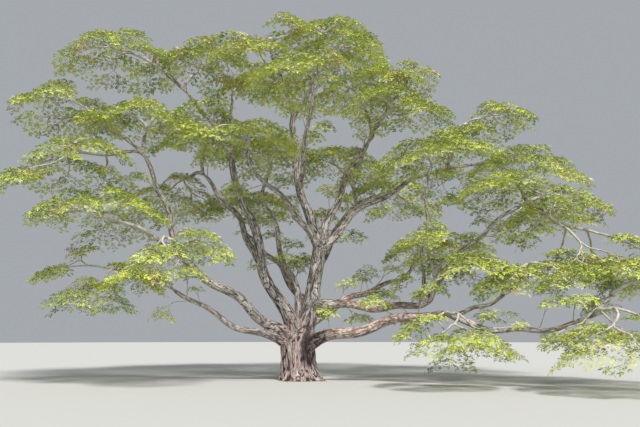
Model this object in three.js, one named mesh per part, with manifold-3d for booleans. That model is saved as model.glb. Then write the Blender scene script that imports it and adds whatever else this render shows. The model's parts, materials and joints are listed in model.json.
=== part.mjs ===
// An old, broad-crowned tree in fresh spring leaf: a short thick bole that leans and forks low, long forked
// boughs, and flat-domed masses of foliage, each of which is a stem that forks again and again and ends in sprays
// of leaves. Millimetres. Seen from the front, +X is right, +Y is away and +Z is up. The origin is the middle of
// the flat cut at ground level. Bearings are degrees about the origin, from +X round towards +Y.
import * as THREE from "three";
import { mergeGeometries, mergeVertices } from "three/addons/utils/BufferGeometryUtils.js";
import Module from "manifold-3d";

const wasm = await Module();
wasm.setup();

const UP = new THREE.Vector3(0, 0, 1);
const EAST = new THREE.Vector3(1, 0, 0);
// A direction that rises more than this is square to EAST rather than to UP.
const STEEP = 0.9;
// Corners nearer than this are one corner.
const WELD = 0.01;

// Clearance between two pieces that grow from one another, between the twigs of two masses that share a tip,
// and between a twig or spray and anything that it doesn't grow from.
const JOINT_GAP = 0.3;
const TWIG_GAP = 2;
const SPRAY_GAP = 15;

// The trunk by height: how far its middle leans to +X, and its radius without the root toes.
const TRUNK = [
  { height: 0, lean: 0, radius: 690 },
  { height: 300, lean: -40, radius: 640 },
  { height: 800, lean: -80, radius: 620 },
  { height: 1300, lean: -80, radius: 600 },
  { height: 1650, lean: 20, radius: 510 },
  { height: 2050, lean: 210, radius: 360 },
  { height: 2600, lean: 350, radius: 300 },
  { height: 3400, lean: 480, radius: 275 },
  { height: 4400, lean: 650, radius: 265 },
  { height: 5250, lean: 740, radius: 240 },
];
const TRUNK_TOP = TRUNK.at(-1).height;
const TRUNK_SIDES = 28;
const TRUNK_RINGS = 16;
// Rings crowd towards the ground by this power, because the flare turns fastest there.
const TRUNK_CROWDING = 1.4;

// The root toes: where each stands, how far it stands out at the ground and its half width in degrees. They
// fade with height over TOE_FADE.
const TOES = [
  { bearing: 335, stand: 430, half: 20 },
  { bearing: 285, stand: 190, half: 24 },
  { bearing: 235, stand: 240, half: 18 },
  { bearing: 182, stand: 150, half: 22 },
  { bearing: 130, stand: 300, half: 20 },
  { bearing: 78, stand: 200, half: 22 },
  { bearing: 25, stand: 270, half: 20 },
];
const TOE_FADE = 260;

// Limbs have this many sides, and a ring for about this much of their length.
const LIMB_SIDES = 8;
const LIMB_STEP = 1200;
// How far a limb wanders from its smooth bend, as a share of its length, and in how many waves.
const WANDER = 0.02;
const WAVES = { side: 1.5, lift: 2 };

// The boughs. "at" is the share of the parent's length, or of the trunk's height, where a bough starts. Its
// tip stands at a bearing, a reach from the trunk's foot and a height. "bow" is how far its middle arches above
// the straight line and "swing" how far it bends to the left, looking along it. "radii" are at root and tip.
const BOUGHS = [
  { name: "leader", parent: "trunk", at: 0.98, bearing: 256, reach: 1250, height: 9900,
    bow: 0, swing: -350, radii: [200, 115] },
  { name: "leader_left", parent: "leader", at: 1, bearing: 246, reach: 2200, height: 11500,
    bow: 0, swing: 120, radii: [100, 65] },
  { name: "leader_right", parent: "leader", at: 0.97, bearing: 311, reach: 900, height: 11600,
    bow: 0, swing: -150, radii: [100, 65] },
  { name: "front_high", parent: "leader", at: 0.45, bearing: 277, reach: 3950, height: 9700,
    bow: -250, swing: 0, radii: [105, 60] },
  { name: "upper_left", parent: "trunk", at: 0.95, bearing: 221, reach: 2300, height: 7600,
    bow: 150, swing: 0, radii: [140, 75] },
  { name: "upper_right", parent: "trunk", at: 0.96, bearing: 14, reach: 2850, height: 9500,
    bow: 150, swing: 0, radii: [165, 95] },
  { name: "right_fork", parent: "upper_right", at: 1, bearing: 7, reach: 4100, height: 11500,
    bow: 100, swing: 0, radii: [85, 55] },
  { name: "far_right", parent: "trunk", at: 0.9, bearing: 16, reach: 6150, height: 8500,
    bow: 500, swing: 0, radii: [150, 75] },
  { name: "left_riser", parent: "trunk", at: 0.28, bearing: 198, reach: 2850, height: 8400,
    bow: -250, swing: 0, radii: [250, 120] },
  { name: "riser_left", parent: "left_riser", at: 1, bearing: 199, reach: 4600, height: 10700,
    bow: 100, swing: 0, radii: [100, 65] },
  { name: "riser_right", parent: "left_riser", at: 0.97, bearing: 186, reach: 2800, height: 11000,
    bow: 100, swing: 0, radii: [90, 55] },
  { name: "left_fork", parent: "left_riser", at: 0.42, bearing: 162, reach: 4300, height: 8200,
    bow: 150, swing: 0, radii: [140, 75] },
  { name: "left_inner", parent: "trunk", at: 0.33, bearing: 135, reach: 2250, height: 7200,
    bow: 250, swing: 0, radii: [150, 75] },
  { name: "left_long", parent: "trunk", at: 0.27, bearing: 204, reach: 4650, height: 4400,
    bow: -100, swing: 0, radii: [205, 130] },
  { name: "left_long_riser", parent: "left_long", at: 1, bearing: 201, reach: 6000, height: 8000,
    bow: 100, swing: 0, radii: [125, 75] },
  { name: "left_low", parent: "trunk", at: 0.24, bearing: 196, reach: 4800, height: 3300,
    bow: -250, swing: 150, radii: [160, 70] },
  { name: "right_upper", parent: "trunk", at: 0.55, bearing: 349, reach: 4650, height: 2700,
    bow: -100, swing: 450, radii: [175, 120] },
  { name: "right_diagonal", parent: "right_upper", at: 1, bearing: 352, reach: 8400, height: 6400,
    bow: 400, swing: 0, radii: [110, 65] },
  { name: "right_upright", parent: "right_upper", at: 0.97, bearing: 350, reach: 4900, height: 7300,
    bow: 0, swing: 0, radii: [75, 50] },
  { name: "right_lower", parent: "trunk", at: 0.23, bearing: 331, reach: 5700, height: 2350,
    bow: 150, swing: 0, radii: [220, 145] },
  { name: "right_outer", parent: "right_lower", at: 1, bearing: 333, reach: 10000, height: 2150,
    bow: -500, swing: 0, radii: [120, 70] },
  { name: "right_shelf", parent: "right_lower", at: 0.93, bearing: 343, reach: 7600, height: 3100,
    bow: -200, swing: 0, radii: [95, 60] },
  { name: "right_back", parent: "trunk", at: 0.38, bearing: 37, reach: 5350, height: 4000,
    bow: 200, swing: 0, radii: [165, 80] },
  { name: "back_left", parent: "trunk", at: 0.5, bearing: 124, reach: 4850, height: 6200,
    bow: 200, swing: 0, radii: [155, 80] },
  { name: "back_right", parent: "trunk", at: 0.74, bearing: 62, reach: 5200, height: 7600,
    bow: 300, swing: 0, radii: [150, 80] },
];

// The masses of foliage. Each is a low dome whose top stands at a bearing, a reach and a "crest" height. It is
// "across" wide along X and "depth" along Y, and grows from the tip of its bough.
const MASSES = [
  { name: "top_left", bough: "leader_left",
    bearing: 243, reach: 3000, crest: 12650, across: 4600, depth: 4600 },
  { name: "top_middle", bough: "leader_right",
    bearing: 320, reach: 1300, crest: 13400, across: 4400, depth: 4600 },
  { name: "top_front", bough: "front_high",
    bearing: 277, reach: 5200, crest: 11200, across: 4600, depth: 4400 },
  { name: "top_right", bough: "upper_right",
    bearing: 30, reach: 3000, crest: 13200, across: 4100, depth: 4400 },
  { name: "right_crown", bough: "right_fork",
    bearing: 345, reach: 3800, crest: 12300, across: 3400, depth: 3700 },
  { name: "right_of_leader", bough: "upper_right",
    bearing: 338, reach: 4000, crest: 10600, across: 4100, depth: 4100 },
  { name: "far_right_top", bough: "far_right",
    bearing: 10, reach: 7500, crest: 11300, across: 4800, depth: 4600 },
  { name: "far_right_side", bough: "far_right",
    bearing: 14, reach: 9700, crest: 9300, across: 4600, depth: 4600 },
  { name: "riser_top", bough: "riser_left",
    bearing: 193, reach: 3900, crest: 13000, across: 3900, depth: 4000 },
  { name: "thin_top", bough: "riser_right",
    bearing: 142, reach: 2500, crest: 13100, across: 3400, depth: 3600 },
  { name: "left_top", bough: "riser_left",
    bearing: 200, reach: 7100, crest: 12700, across: 4400, depth: 4400 },
  { name: "left_side", bough: "left_long_riser",
    bearing: 203, reach: 8500, crest: 8000, across: 4600, depth: 4600 },
  { name: "left_side_top", bough: "left_long_riser",
    bearing: 195, reach: 8600, crest: 10200, across: 4100, depth: 4400 },
  { name: "left_upper", bough: "left_long_riser",
    bearing: 206, reach: 6100, crest: 10300, across: 4600, depth: 4600 },
  { name: "left_back_high", bough: "left_fork",
    bearing: 155, reach: 4800, crest: 10800, across: 4800, depth: 4800 },
  { name: "left_back_low", bough: "left_fork",
    bearing: 150, reach: 6900, crest: 8700, across: 4800, depth: 4800 },
  { name: "centre_left", bough: "upper_left",
    bearing: 230, reach: 3500, crest: 9700, across: 4600, depth: 4600 },
  { name: "left_wing", bough: "left_long",
    bearing: 206, reach: 7400, crest: 6200, across: 4600, depth: 4600 },
  { name: "left_front", bough: "left_long",
    bearing: 224, reach: 5600, crest: 5100, across: 4100, depth: 4100 },
  { name: "left_skirt", bough: "left_low",
    bearing: 192, reach: 7200, crest: 4400, across: 4800, depth: 4600 },
  { name: "back_inner", bough: "left_inner",
    bearing: 115, reach: 3300, crest: 10300, across: 4600, depth: 4600 },
  { name: "back_left_dome", bough: "back_left",
    bearing: 116, reach: 6100, crest: 8500, across: 5100, depth: 4800 },
  { name: "back_right_dome", bough: "back_right",
    bearing: 70, reach: 5200, crest: 10600, across: 4800, depth: 4800 },
  { name: "back_right_side", bough: "back_right",
    bearing: 55, reach: 7500, crest: 8900, across: 4800, depth: 4800 },
  { name: "back_right_skirt", bough: "right_back",
    bearing: 36, reach: 7600, crest: 6300, across: 5100, depth: 4800 },
  { name: "right_inner", bough: "right_upright",
    bearing: 346, reach: 5350, crest: 9100, across: 4800, depth: 4800 },
  { name: "right_wing", bough: "right_diagonal",
    bearing: 0, reach: 9700, crest: 7200, across: 4600, depth: 4800 },
  { name: "right_slope", bough: "right_diagonal",
    bearing: 343, reach: 8200, crest: 7600, across: 4600, depth: 4600 },
  { name: "right_tip", bough: "right_diagonal",
    bearing: 345, reach: 10700, crest: 4900, across: 4600, depth: 4400 },
  { name: "right_mid", bough: "right_upper",
    bearing: 339, reach: 5900, crest: 5300, across: 4600, depth: 4100 },
  { name: "right_ledge", bough: "right_shelf",
    bearing: 343, reach: 8800, crest: 4500, across: 5100, depth: 4100 },
  { name: "right_skirt", bough: "right_outer",
    bearing: 328, reach: 10900, crest: 2600, across: 4400, depth: 3900 },
  { name: "right_end", bough: "right_outer",
    bearing: 340, reach: 12000, crest: 4000, across: 4400, depth: 4400 },
  { name: "right_low", bough: "right_lower",
    bearing: 318, reach: 6500, crest: 2350, across: 3700, depth: 3400 },
];

// A mass's rim hangs below its crest by this share of its mean width. Its parts stand above or below the dome
// by up to TIER from their second fork on, and its sprays by up to LUMP more.
const DROOP = 0.2;
const TIER = { down: 950, up: 300 };
const TIER_FORKS = 2;
const LUMP = 190;
// A fork stands at this share of the way from the last fork to the middle of the cell that it feeds. The stem
// has its own share.
const STEM_SHARE = 0.38;
const FORK_SHARE = 0.45;
// A cell splits in two at a share between these, until it is smaller than SPRAY_AREA, in square metres.
const SPLIT = { least: 0.4, most: 0.6 };
const SPRAY_AREA = 1.5;
const SQUARE_METRE = 1e6;
// A twig is this thick, in millimetres of radius, for each metre of its cell's mean width.
const TWIG_RADIUS = 19;
const TWIG_SIDES = 3;
// A spray fills its cell to this share, within these half lengths, and has this half thickness.
const SPRAY_FILL = 1.08;
const SPRAY_HALF = { least: 440, most: 900 };
const SPRAY_THICK = 45;
// The root of a spray is this share of its twig's radius, and a crotch stands this many radii past its fork.
const SPRAY_ROOT = 0.7;
const CROTCH = 0.9;
// This share of a twig may touch the pieces that meet at its fork.
const TWIG_START = 0.1;
// Each part of a mass has this many draws of chance to itself.
const DRAWS = 8;

// A repeatable number from 0 to 1 for a seed and a key.
function chance(seed, key) {
  let hash = Math.imul(seed + 1, 0x9e3779b1) ^ Math.imul(key + 1, 0x85ebca6b);
  hash = Math.imul(hash ^ (hash >>> 15), 0x2c1b3c6d);
  hash = Math.imul(hash ^ (hash >>> 12), 0x297a2d39);
  return ((hash ^ (hash >>> 15)) >>> 0) / 2 ** 32;
}

function mix(from, to, share) {
  return from + (to - from) * share;
}

// The point at a bearing, a reach from the trunk's foot and a height.
function place(bearing, reach, height) {
  const turn = THREE.MathUtils.degToRad(bearing);
  return new THREE.Vector3(reach * Math.cos(turn), reach * Math.sin(turn), height);
}

// A geometry with nothing but the positions of its corners.
function bare(geometry) {
  geometry.deleteAttribute("normal");
  geometry.deleteAttribute("uv");
  return geometry;
}

// A closed solid from a geometry, and a geometry from a solid.
function solidOf(geometry) {
  const merged = mergeVertices(bare(geometry), WELD);
  return new wasm.Manifold(new wasm.Mesh({
    numProp: 3,
    vertProperties: new Float32Array(merged.attributes.position.array),
    triVerts: new Uint32Array(merged.index.array),
  }));
}

function geometryOf(solid) {
  const mesh = solid.getMesh();
  const geometry = new THREE.BufferGeometry();
  geometry.setAttribute("position", new THREE.BufferAttribute(new Float32Array(mesh.vertProperties), 3));
  geometry.setIndex(new THREE.BufferAttribute(new Uint32Array(mesh.triVerts), 1));
  return geometry;
}

// The largest body of a solid, without loose scraps.
function largest(solid) {
  return solid.decompose().reduce((best, body) => (body.volume() > best.volume() ? body : best));
}

// The gap between two solids, or "reach" where they are further apart than that.
function gapBetween(one, other, reach) {
  const a = one.boundingBox();
  const b = other.boundingBox();
  const between = [0, 1, 2].map((axis) => Math.max(a.min[axis] - b.max[axis], b.min[axis] - a.max[axis]));
  return Math.max(...between) > reach ? reach : one.minGap(other, reach);
}

// The trunk's lean or radius at a height, on a smooth curve through its rows.
function trunkAt(height, key) {
  const upper = Math.max(1, TRUNK.findIndex((row) => row.height >= height));
  const rows = [upper - 2, upper - 1, upper, upper + 1]
    .map((row) => TRUNK[THREE.MathUtils.clamp(row, 0, TRUNK.length - 1)]);
  const span = rows[2].height - rows[1].height;
  const share = (height - rows[1].height) / span;
  const slope = (from, to) => ((to[key] - from[key]) / Math.max(1, to.height - from.height)) * span;
  const cubic = share * share * (3 - 2 * share);
  return mix(rows[1][key], rows[2][key], cubic)
    + share * (1 - share) * ((1 - share) * slope(rows[0], rows[2]) - share * slope(rows[1], rows[3]));
}

// How far the root toes stand out at a bearing and a height.
function toesAt(bearing, height) {
  return TOES.reduce((sum, toe) => {
    const away = THREE.MathUtils.euclideanModulo(bearing - toe.bearing + 180, 360) - 180;
    return sum + toe.stand * Math.exp(-((away / toe.half) ** 2) - height / TOE_FADE);
  }, 0);
}

// The trunk's solid, "extra" thicker all over and taller by as much.
function trunkSolid(extra) {
  const geometry = new THREE.CylinderGeometry(1, 1, 1, TRUNK_SIDES, TRUNK_RINGS);
  geometry.rotateX(Math.PI / 2);
  const spots = geometry.attributes.position;
  for (let spot = 0; spot < spots.count; spot += 1) {
    const height = TRUNK_TOP * (spots.getZ(spot) + 0.5) ** TRUNK_CROWDING;
    const turn = Math.atan2(spots.getY(spot), spots.getX(spot));
    const share = Math.hypot(spots.getX(spot), spots.getY(spot));
    const toes = toesAt(THREE.MathUtils.radToDeg(turn), height);
    const radius = share * (trunkAt(height, "radius") + toes + extra);
    const east = trunkAt(height, "lean") + radius * Math.cos(turn);
    const top = height >= TRUNK_TOP - 1 ? extra : 0;
    spots.setXYZ(spot, east, radius * Math.sin(turn), height + top);
  }
  return solidOf(geometry);
}

// A limb's axis: a smooth bend from its root to its tip that wanders a little to its side and along its lift.
class LimbAxis extends THREE.Curve {
  constructor(root, tip, bough, seed) {
    super();
    const chord = tip.clone().sub(root);
    const turn = Math.atan2(chord.y, chord.x);
    this.side = new THREE.Vector3(-Math.sin(turn), Math.cos(turn), 0);
    this.lift = chord.clone().normalize().cross(this.side);
    this.span = chord.length();
    this.seed = seed;
    const middle = root.clone().add(tip).multiplyScalar(0.5);
    const bend = middle.addScaledVector(this.lift, 2 * bough.bow).addScaledVector(this.side, 2 * bough.swing);
    this.smooth = new THREE.QuadraticBezierCurve3(root, bend, tip);
  }

  getPoint(share) {
    const swell = WANDER * this.span * Math.sin(Math.PI * share);
    const sideways = Math.sin(2 * Math.PI * (WAVES.side * share + chance(this.seed, 1)));
    const upwards = Math.sin(2 * Math.PI * (WAVES.lift * share + chance(this.seed, 2)));
    return this.smooth.getPoint(share)
      .addScaledVector(this.side, swell * sideways)
      .addScaledVector(this.lift, swell * upwards);
  }
}

// A limb's solid along its axis, "extra" thicker all over and longer at both ends by as much.
function limbSolid(axis, radii, extra) {
  const rings = Math.max(2, Math.round(axis.span / LIMB_STEP));
  const geometry = new THREE.CylinderGeometry(1, 1, 1, LIMB_SIDES, rings);
  const spots = geometry.attributes.position;
  for (let spot = 0; spot < spots.count; spot += 1) {
    const share = spots.getY(spot) + 0.5;
    const along = axis.getTangent(share);
    const side = axis.side.clone().addScaledVector(along, -axis.side.dot(along)).normalize();
    const lift = along.clone().cross(side);
    const radius = mix(radii[0], radii[1], share) + extra;
    const point = axis.getPoint(share)
      .addScaledVector(side, radius * spots.getZ(spot))
      .addScaledVector(lift, radius * spots.getX(spot))
      .addScaledVector(along, extra * Math.trunc(2 * share - 1));
    spots.setXYZ(spot, point.x, point.y, point.z);
  }
  return solidOf(geometry);
}

// What is left of a solid once the larger copy of every piece nearer than JOINT_GAP is cut away from it.
function cutClear(grown, others) {
  return others.reduce((rest, other) => {
    const near = gapBetween(rest, other.solid, JOINT_GAP) < JOINT_GAP;
    return near ? largest(rest.subtract(other.cutter)) : rest;
  }, grown);
}

// Every limb in order: its axis, its radii, its finished solid and the larger copy that cuts what meets it.
function buildLimbs() {
  const limbs = new Map();
  limbs.set("trunk", { solid: trunkSolid(0), cutter: trunkSolid(JOINT_GAP) });
  BOUGHS.forEach((bough, seed) => {
    const parent = limbs.get(bough.parent);
    const height = bough.at * TRUNK_TOP;
    const root = parent.axis?.getPoint(bough.at) ?? new THREE.Vector3(trunkAt(height, "lean"), 0, height);
    const axis = new LimbAxis(root, place(bough.bearing, bough.reach, bough.height), bough, seed);
    const solid = cutClear(limbSolid(axis, bough.radii, 0), [...limbs.values()]);
    const cutter = limbSolid(axis, bough.radii, JOINT_GAP);
    limbs.set(bough.name, { axis, radii: bough.radii, solid, cutter });
  });
  return limbs;
}

// Three corners round a point, square to the way they face. The second one stands away from "flat", and the
// other two stand on either side along it, "wide" and "thick" from the point.
function corners(point, facing, flat, wide, thick) {
  const side = flat.clone().addScaledVector(facing, -flat.dot(facing)).normalize();
  const away = facing.clone().cross(side);
  return [[Math.cos(Math.PI / 6), -0.5], [0, 1], [-Math.cos(Math.PI / 6), -0.5]].map(([across, off]) => (
    point.clone().addScaledVector(side, across * wide).addScaledVector(away, off * thick)
  ));
}

function middleOf(ring) {
  return ring.reduce((sum, corner) => sum.add(corner), new THREE.Vector3()).divideScalar(ring.length);
}

// A ring with its corners moved out from its middle.
function swollen(ring, extra) {
  const middle = middleOf(ring);
  return ring.map((corner) => corner.clone().addScaledVector(corner.clone().sub(middle).normalize(), extra));
}

// A ring's corners, counted from the one that keeps the edges of a tube to the next ring shortest.
function untwisted(ring, next) {
  const arrows = (points) => points.map((point) => point.clone().sub(middleOf(points)).normalize());
  const goal = arrows(next).map((arrow, index, all) => arrow.clone().add(all[(index + 1) % 3]));
  const match = (turn) => (
    arrows(ring).reduce((sum, arrow, index) => sum + arrow.dot(goal[(index + turn) % 3]), 0)
  );
  const turn = [0, 1, 2].reduce((best, option) => (match(option) > match(best) ? option : best));
  return ring.map((_, index) => ring[(index + 3 - turn) % 3]);
}

// An open tube of three faces from one ring of corners to the next one, which may be a single point.
function tube(from, to) {
  const geometry = new THREE.CylinderGeometry(to.length > 1 ? 1 : 0, 1, 1, TWIG_SIDES, 1, true);
  const start = to.length > 1 ? untwisted(from, to) : from;
  const spots = geometry.attributes.position;
  for (let spot = 0; spot < spots.count; spot += 1) {
    const column = (spot % (TWIG_SIDES + 1)) % TWIG_SIDES;
    const corner = spot > TWIG_SIDES ? start[column] : to[column % to.length];
    spots.setXYZ(spot, corner.x, corner.y, corner.z);
  }
  return geometry.toNonIndexed();
}

// One three-cornered face that looks towards whoever sees its corners run counterclockwise.
function face(one, two, three) {
  return new THREE.BufferGeometry().setFromPoints([one, two, three]);
}

function joined(geometries) {
  return mergeGeometries(geometries.map(bare));
}

// A closed solid through rings of corners, the last of which may be a point.
function runSolid(rings) {
  const [first, last] = [rings[0], rings.at(-1)];
  const faces = rings.slice(1).map((ring, index) => tube(rings[index], ring));
  faces.push(face(first[0], first[2], first[1]));
  if (last.length > 1) {
    faces.push(face(...last));
  }
  return solidOf(joined(faces));
}

// The middle of a cell, as a turn and a share of the plan's radius. A cell is a patch of a mass's round plan,
// between two turns ("from" and "to") and between two shares of the plan's area ("near" and "far").
function cellMiddle(cell) {
  const near = Math.sqrt(cell.near);
  const far = Math.sqrt(cell.far);
  const half = (cell.to - cell.from) / 2;
  const pull = Math.sin(half) / half;
  return { turn: cell.from + half, out: ((2 / 3) * (far ** 3 - near ** 3) * pull) / (cell.far - cell.near) };
}

// A cell's size along the turn and outwards, in millimetres.
function cellSize(mass, cell) {
  const mean = (mass.across + mass.depth) / 4;
  const around = (cell.to - cell.from) * Math.sqrt((cell.near + cell.far) / 2) * mean;
  return { around, outward: (Math.sqrt(cell.far) - Math.sqrt(cell.near)) * mean };
}

function splitCell(mass, cell, share) {
  const size = cellSize(mass, cell);
  if (size.around > size.outward) {
    const turn = mix(cell.from, cell.to, share);
    return [{ ...cell, to: turn }, { ...cell, from: turn }];
  }
  const out = mix(cell.near, cell.far, share);
  return [{ ...cell, far: out }, { ...cell, near: out }];
}

// The point of a mass's dome over the middle of a cell.
function domePoint(mass, cell) {
  const { turn, out } = cellMiddle(cell);
  const top = place(mass.bearing, mass.reach, mass.crest);
  const drop = DROOP * (mass.across + mass.depth) / 2;
  return new THREE.Vector3(
    top.x + out * Math.cos(turn) * mass.across / 2,
    top.y + out * Math.sin(turn) * mass.depth / 2,
    top.z - drop * out * out,
  );
}

// The rings of one spray of leaves: a flat blade with a keel that lies outwards on the dome over its cell.
function sprayRings(mass, cell, centre, radius) {
  const { turn, out } = cellMiddle(cell);
  const size = cellSize(mass, cell);
  const outward = new THREE.Vector3(Math.cos(turn), Math.sin(turn), -2 * DROOP * out).normalize();
  const around = outward.clone().cross(UP).normalize();
  const half = (length) => (
    THREE.MathUtils.clamp((SPRAY_FILL * length) / 2, SPRAY_HALF.least, SPRAY_HALF.most)
  );
  const along = half(size.outward);
  const wide = half(size.around) / Math.cos(Math.PI / 6);
  return [
    corners(centre.clone().addScaledVector(outward, -along), outward, around, radius, radius),
    corners(centre, outward, around, wide, SPRAY_THICK),
    [centre.clone().addScaledVector(outward, along)],
  ];
}

// The twigs of one mass as a plan: each part ends at a point, and carries either two more parts or a spray. A
// twig or spray that would touch another piece is left out, with all that it would carry.
function planPart(mass, seed, clear, path, cell, from, tier = 0) {
  const quarter = (mass.across / 2) * (mass.depth / 2) / SQUARE_METRE;
  const cellArea = quarter * (cell.far - cell.near) * (cell.to - cell.from) / 2;
  const radius = TWIG_RADIUS * Math.sqrt(cellArea);
  const target = domePoint(mass, cell);
  target.z += tier;
  if (cellArea < SPRAY_AREA) {
    target.z += LUMP * (2 * chance(seed, DRAWS * path) - 1);
    const spray = sprayRings(mass, cell, target, SPRAY_ROOT * radius);
    return clear(runSolid(spray)) ? { point: middleOf(spray[0]), radius, spray, parts: [] } : null;
  }
  const point = from.clone().lerp(target, path === 1 ? STEM_SHARE : FORK_SHARE);
  const cut = mix(SPLIT.least, SPLIT.most, chance(seed, DRAWS * path + 1));
  const steps = path >= 2 ** (TIER_FORKS - 1) && path < 2 ** TIER_FORKS;
  const parts = splitCell(mass, cell, cut)
    .map((part, side) => {
      const next = 2 * path + side;
      const own = steps ? mix(-TIER.down, TIER.up, chance(seed, DRAWS * next + 2)) : tier;
      return planPart(mass, seed, clear, next, part, point, own);
    })
    .filter((part) => part && clear(twigSolid(point, part)));
  return parts.length > 0 ? { point, radius, parts } : null;
}

// The twig from a fork to a part, less its first TWIG_START, for testing.
function twigSolid(from, part) {
  const along = part.point.clone().sub(from);
  const facing = along.clone().normalize();
  const flat = Math.abs(facing.z) < STEEP ? UP : EAST;
  return runSolid([TWIG_START, 1].map((share) => (
    corners(from.clone().addScaledVector(along, share), facing, flat, part.radius, part.radius)
  )));
}

// The faces of a part and of all that it carries, "extra" thicker, from the ring of corners that it grows from.
function partFaces(part, from, ring, extra) {
  if (part.spray) {
    const [root, blade, tip] = part.spray.map((one) => swollen(one, extra));
    return [tube(ring, root), tube(root, blade), tube(blade, tip)];
  }
  const radius = part.radius + extra;
  const incoming = part.point.clone().sub(from).normalize();
  const ways = part.parts.map((next) => next.point.clone().sub(part.point).normalize());
  const facing = incoming.add(middleOf(ways)).normalize();
  if (ways.length === 1) {
    const bend = corners(part.point, facing, UP, radius, radius);
    return [tube(ring, bend), ...partFaces(part.parts[0], part.point, bend, extra)];
  }
  const end = corners(part.point, facing, ways[0].clone().sub(ways[1]), radius, radius);
  const crotch = middleOf([end[0], end[2]]).addScaledVector(facing, CROTCH * radius);
  return [
    tube(ring, end),
    face(end[2], end[0], crotch),
    ...partFaces(part.parts[0], part.point, [end[0], end[1], crotch], extra),
    ...partFaces(part.parts[1], part.point, [end[1], end[2], crotch], extra),
  ];
}

// One mass, grown from inside its bough's tip and cut clear of the others, and the larger copy that cuts
// later masses clear of it.
function buildMass(mass, seed, bough, others) {
  const root = bough.axis.getPoint(1).addScaledVector(bough.axis.getTangent(1), -bough.radii[1]);
  const clear = (solid) => others.every((other) => gapBetween(solid, other.solid, SPRAY_GAP) >= SPRAY_GAP);
  const from = 2 * Math.PI * chance(seed, 0);
  const whole = { from, to: from + 2 * Math.PI, near: 0, far: 1 };
  const plan = planPart(mass, seed, clear, 1, whole, root);
  const facing = plan.point.clone().sub(root).normalize();
  const grow = (extra) => {
    const start = corners(root, facing, EAST, plan.radius + extra, plan.radius + extra);
    return solidOf(joined([face(start[0], start[2], start[1]), ...partFaces(plan, root, start, extra)]));
  };
  return { solid: cutClear(grow(0), others), cutter: grow(TWIG_GAP) };
}

const looks = {
  trunk: new THREE.MeshStandardMaterial({ color: 0x71665a, roughness: 0.95, metalness: 0 }),
  bough: new THREE.MeshStandardMaterial({ color: 0x8d8878, roughness: 0.9, metalness: 0 }),
  foliage: new THREE.MeshStandardMaterial({ color: 0x9cb03c, roughness: 0.7, metalness: 0 }),
};

function addMesh(tree, name, solid, look) {
  const mesh = new THREE.Mesh(geometryOf(solid), look.clone());
  mesh.name = name;
  tree.add(mesh);
}

const tree = new THREE.Group();
const limbs = buildLimbs();
for (const [name, limb] of limbs) {
  addMesh(tree, name, limb.solid, name === "trunk" ? looks.trunk : looks.bough);
}

const built = [...limbs.values()];
MASSES.forEach((mass, seed) => {
  const piece = buildMass(mass, seed, limbs.get(mass.bough), built);
  built.push(piece);
  addMesh(tree, mass.name, piece.solid, looks.foliage);
});

export default tree;
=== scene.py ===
"""An old, broad-crowned cork tree in fresh spring leaf, grown limb by limb, and a plain stage for it.

Metres. Seen from the front, +X is right, +Y is away and +Z is up. The origin is the middle of the flat cut
at ground level. Bearings are degrees about the origin, from +X round towards +Y.
"""

import json
import math
from collections import namedtuple

import bmesh
import bpy
import numpy as np
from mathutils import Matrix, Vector

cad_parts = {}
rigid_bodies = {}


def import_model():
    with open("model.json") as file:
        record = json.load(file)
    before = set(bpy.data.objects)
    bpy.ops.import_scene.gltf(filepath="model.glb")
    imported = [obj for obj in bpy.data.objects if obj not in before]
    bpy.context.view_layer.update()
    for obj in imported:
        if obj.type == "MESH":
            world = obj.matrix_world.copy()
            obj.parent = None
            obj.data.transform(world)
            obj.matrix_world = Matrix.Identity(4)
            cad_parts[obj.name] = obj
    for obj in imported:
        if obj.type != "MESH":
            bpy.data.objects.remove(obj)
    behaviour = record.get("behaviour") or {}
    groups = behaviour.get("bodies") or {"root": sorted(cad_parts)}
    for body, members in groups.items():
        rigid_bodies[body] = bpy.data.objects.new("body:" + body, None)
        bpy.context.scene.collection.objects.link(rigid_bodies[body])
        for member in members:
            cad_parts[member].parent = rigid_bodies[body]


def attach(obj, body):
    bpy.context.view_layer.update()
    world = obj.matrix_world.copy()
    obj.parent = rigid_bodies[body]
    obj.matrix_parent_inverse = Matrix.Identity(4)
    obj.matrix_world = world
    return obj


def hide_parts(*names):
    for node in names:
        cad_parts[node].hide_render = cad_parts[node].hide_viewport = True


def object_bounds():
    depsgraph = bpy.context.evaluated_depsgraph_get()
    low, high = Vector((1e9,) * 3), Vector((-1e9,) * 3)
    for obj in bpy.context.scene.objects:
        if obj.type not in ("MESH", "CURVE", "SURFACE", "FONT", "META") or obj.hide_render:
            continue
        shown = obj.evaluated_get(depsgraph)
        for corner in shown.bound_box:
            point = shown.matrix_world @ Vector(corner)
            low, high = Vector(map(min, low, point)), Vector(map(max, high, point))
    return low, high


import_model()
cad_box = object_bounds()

bl_info = {
    "name": "Spreading Cork Tree",
    "version": (1, 0, 0),
    "blender": (4, 5, 0),
    "location": "View3D > Sidebar > Tree",
    "description": "An old open-grown cork tree in spring leaf, grown bough by bough",
    "category": "Object",
}

# The trunk by height: how far its middle leans to +X, and its radius without the root toes.
Ring = namedtuple("Ring", "height lean radius")
TRUNK = (
    Ring(0, 0, 0.69),
    Ring(0.3, -0.04, 0.64),
    Ring(0.8, -0.08, 0.62),
    Ring(1.3, -0.08, 0.6),
    Ring(1.65, 0.02, 0.51),
    Ring(2.05, 0.21, 0.36),
    Ring(2.6, 0.35, 0.3),
    Ring(3.4, 0.48, 0.275),
    Ring(4.4, 0.65, 0.265),
    Ring(5.25, 0.74, 0.24),
)
TRUNK_TOP = TRUNK[-1].height

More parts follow.
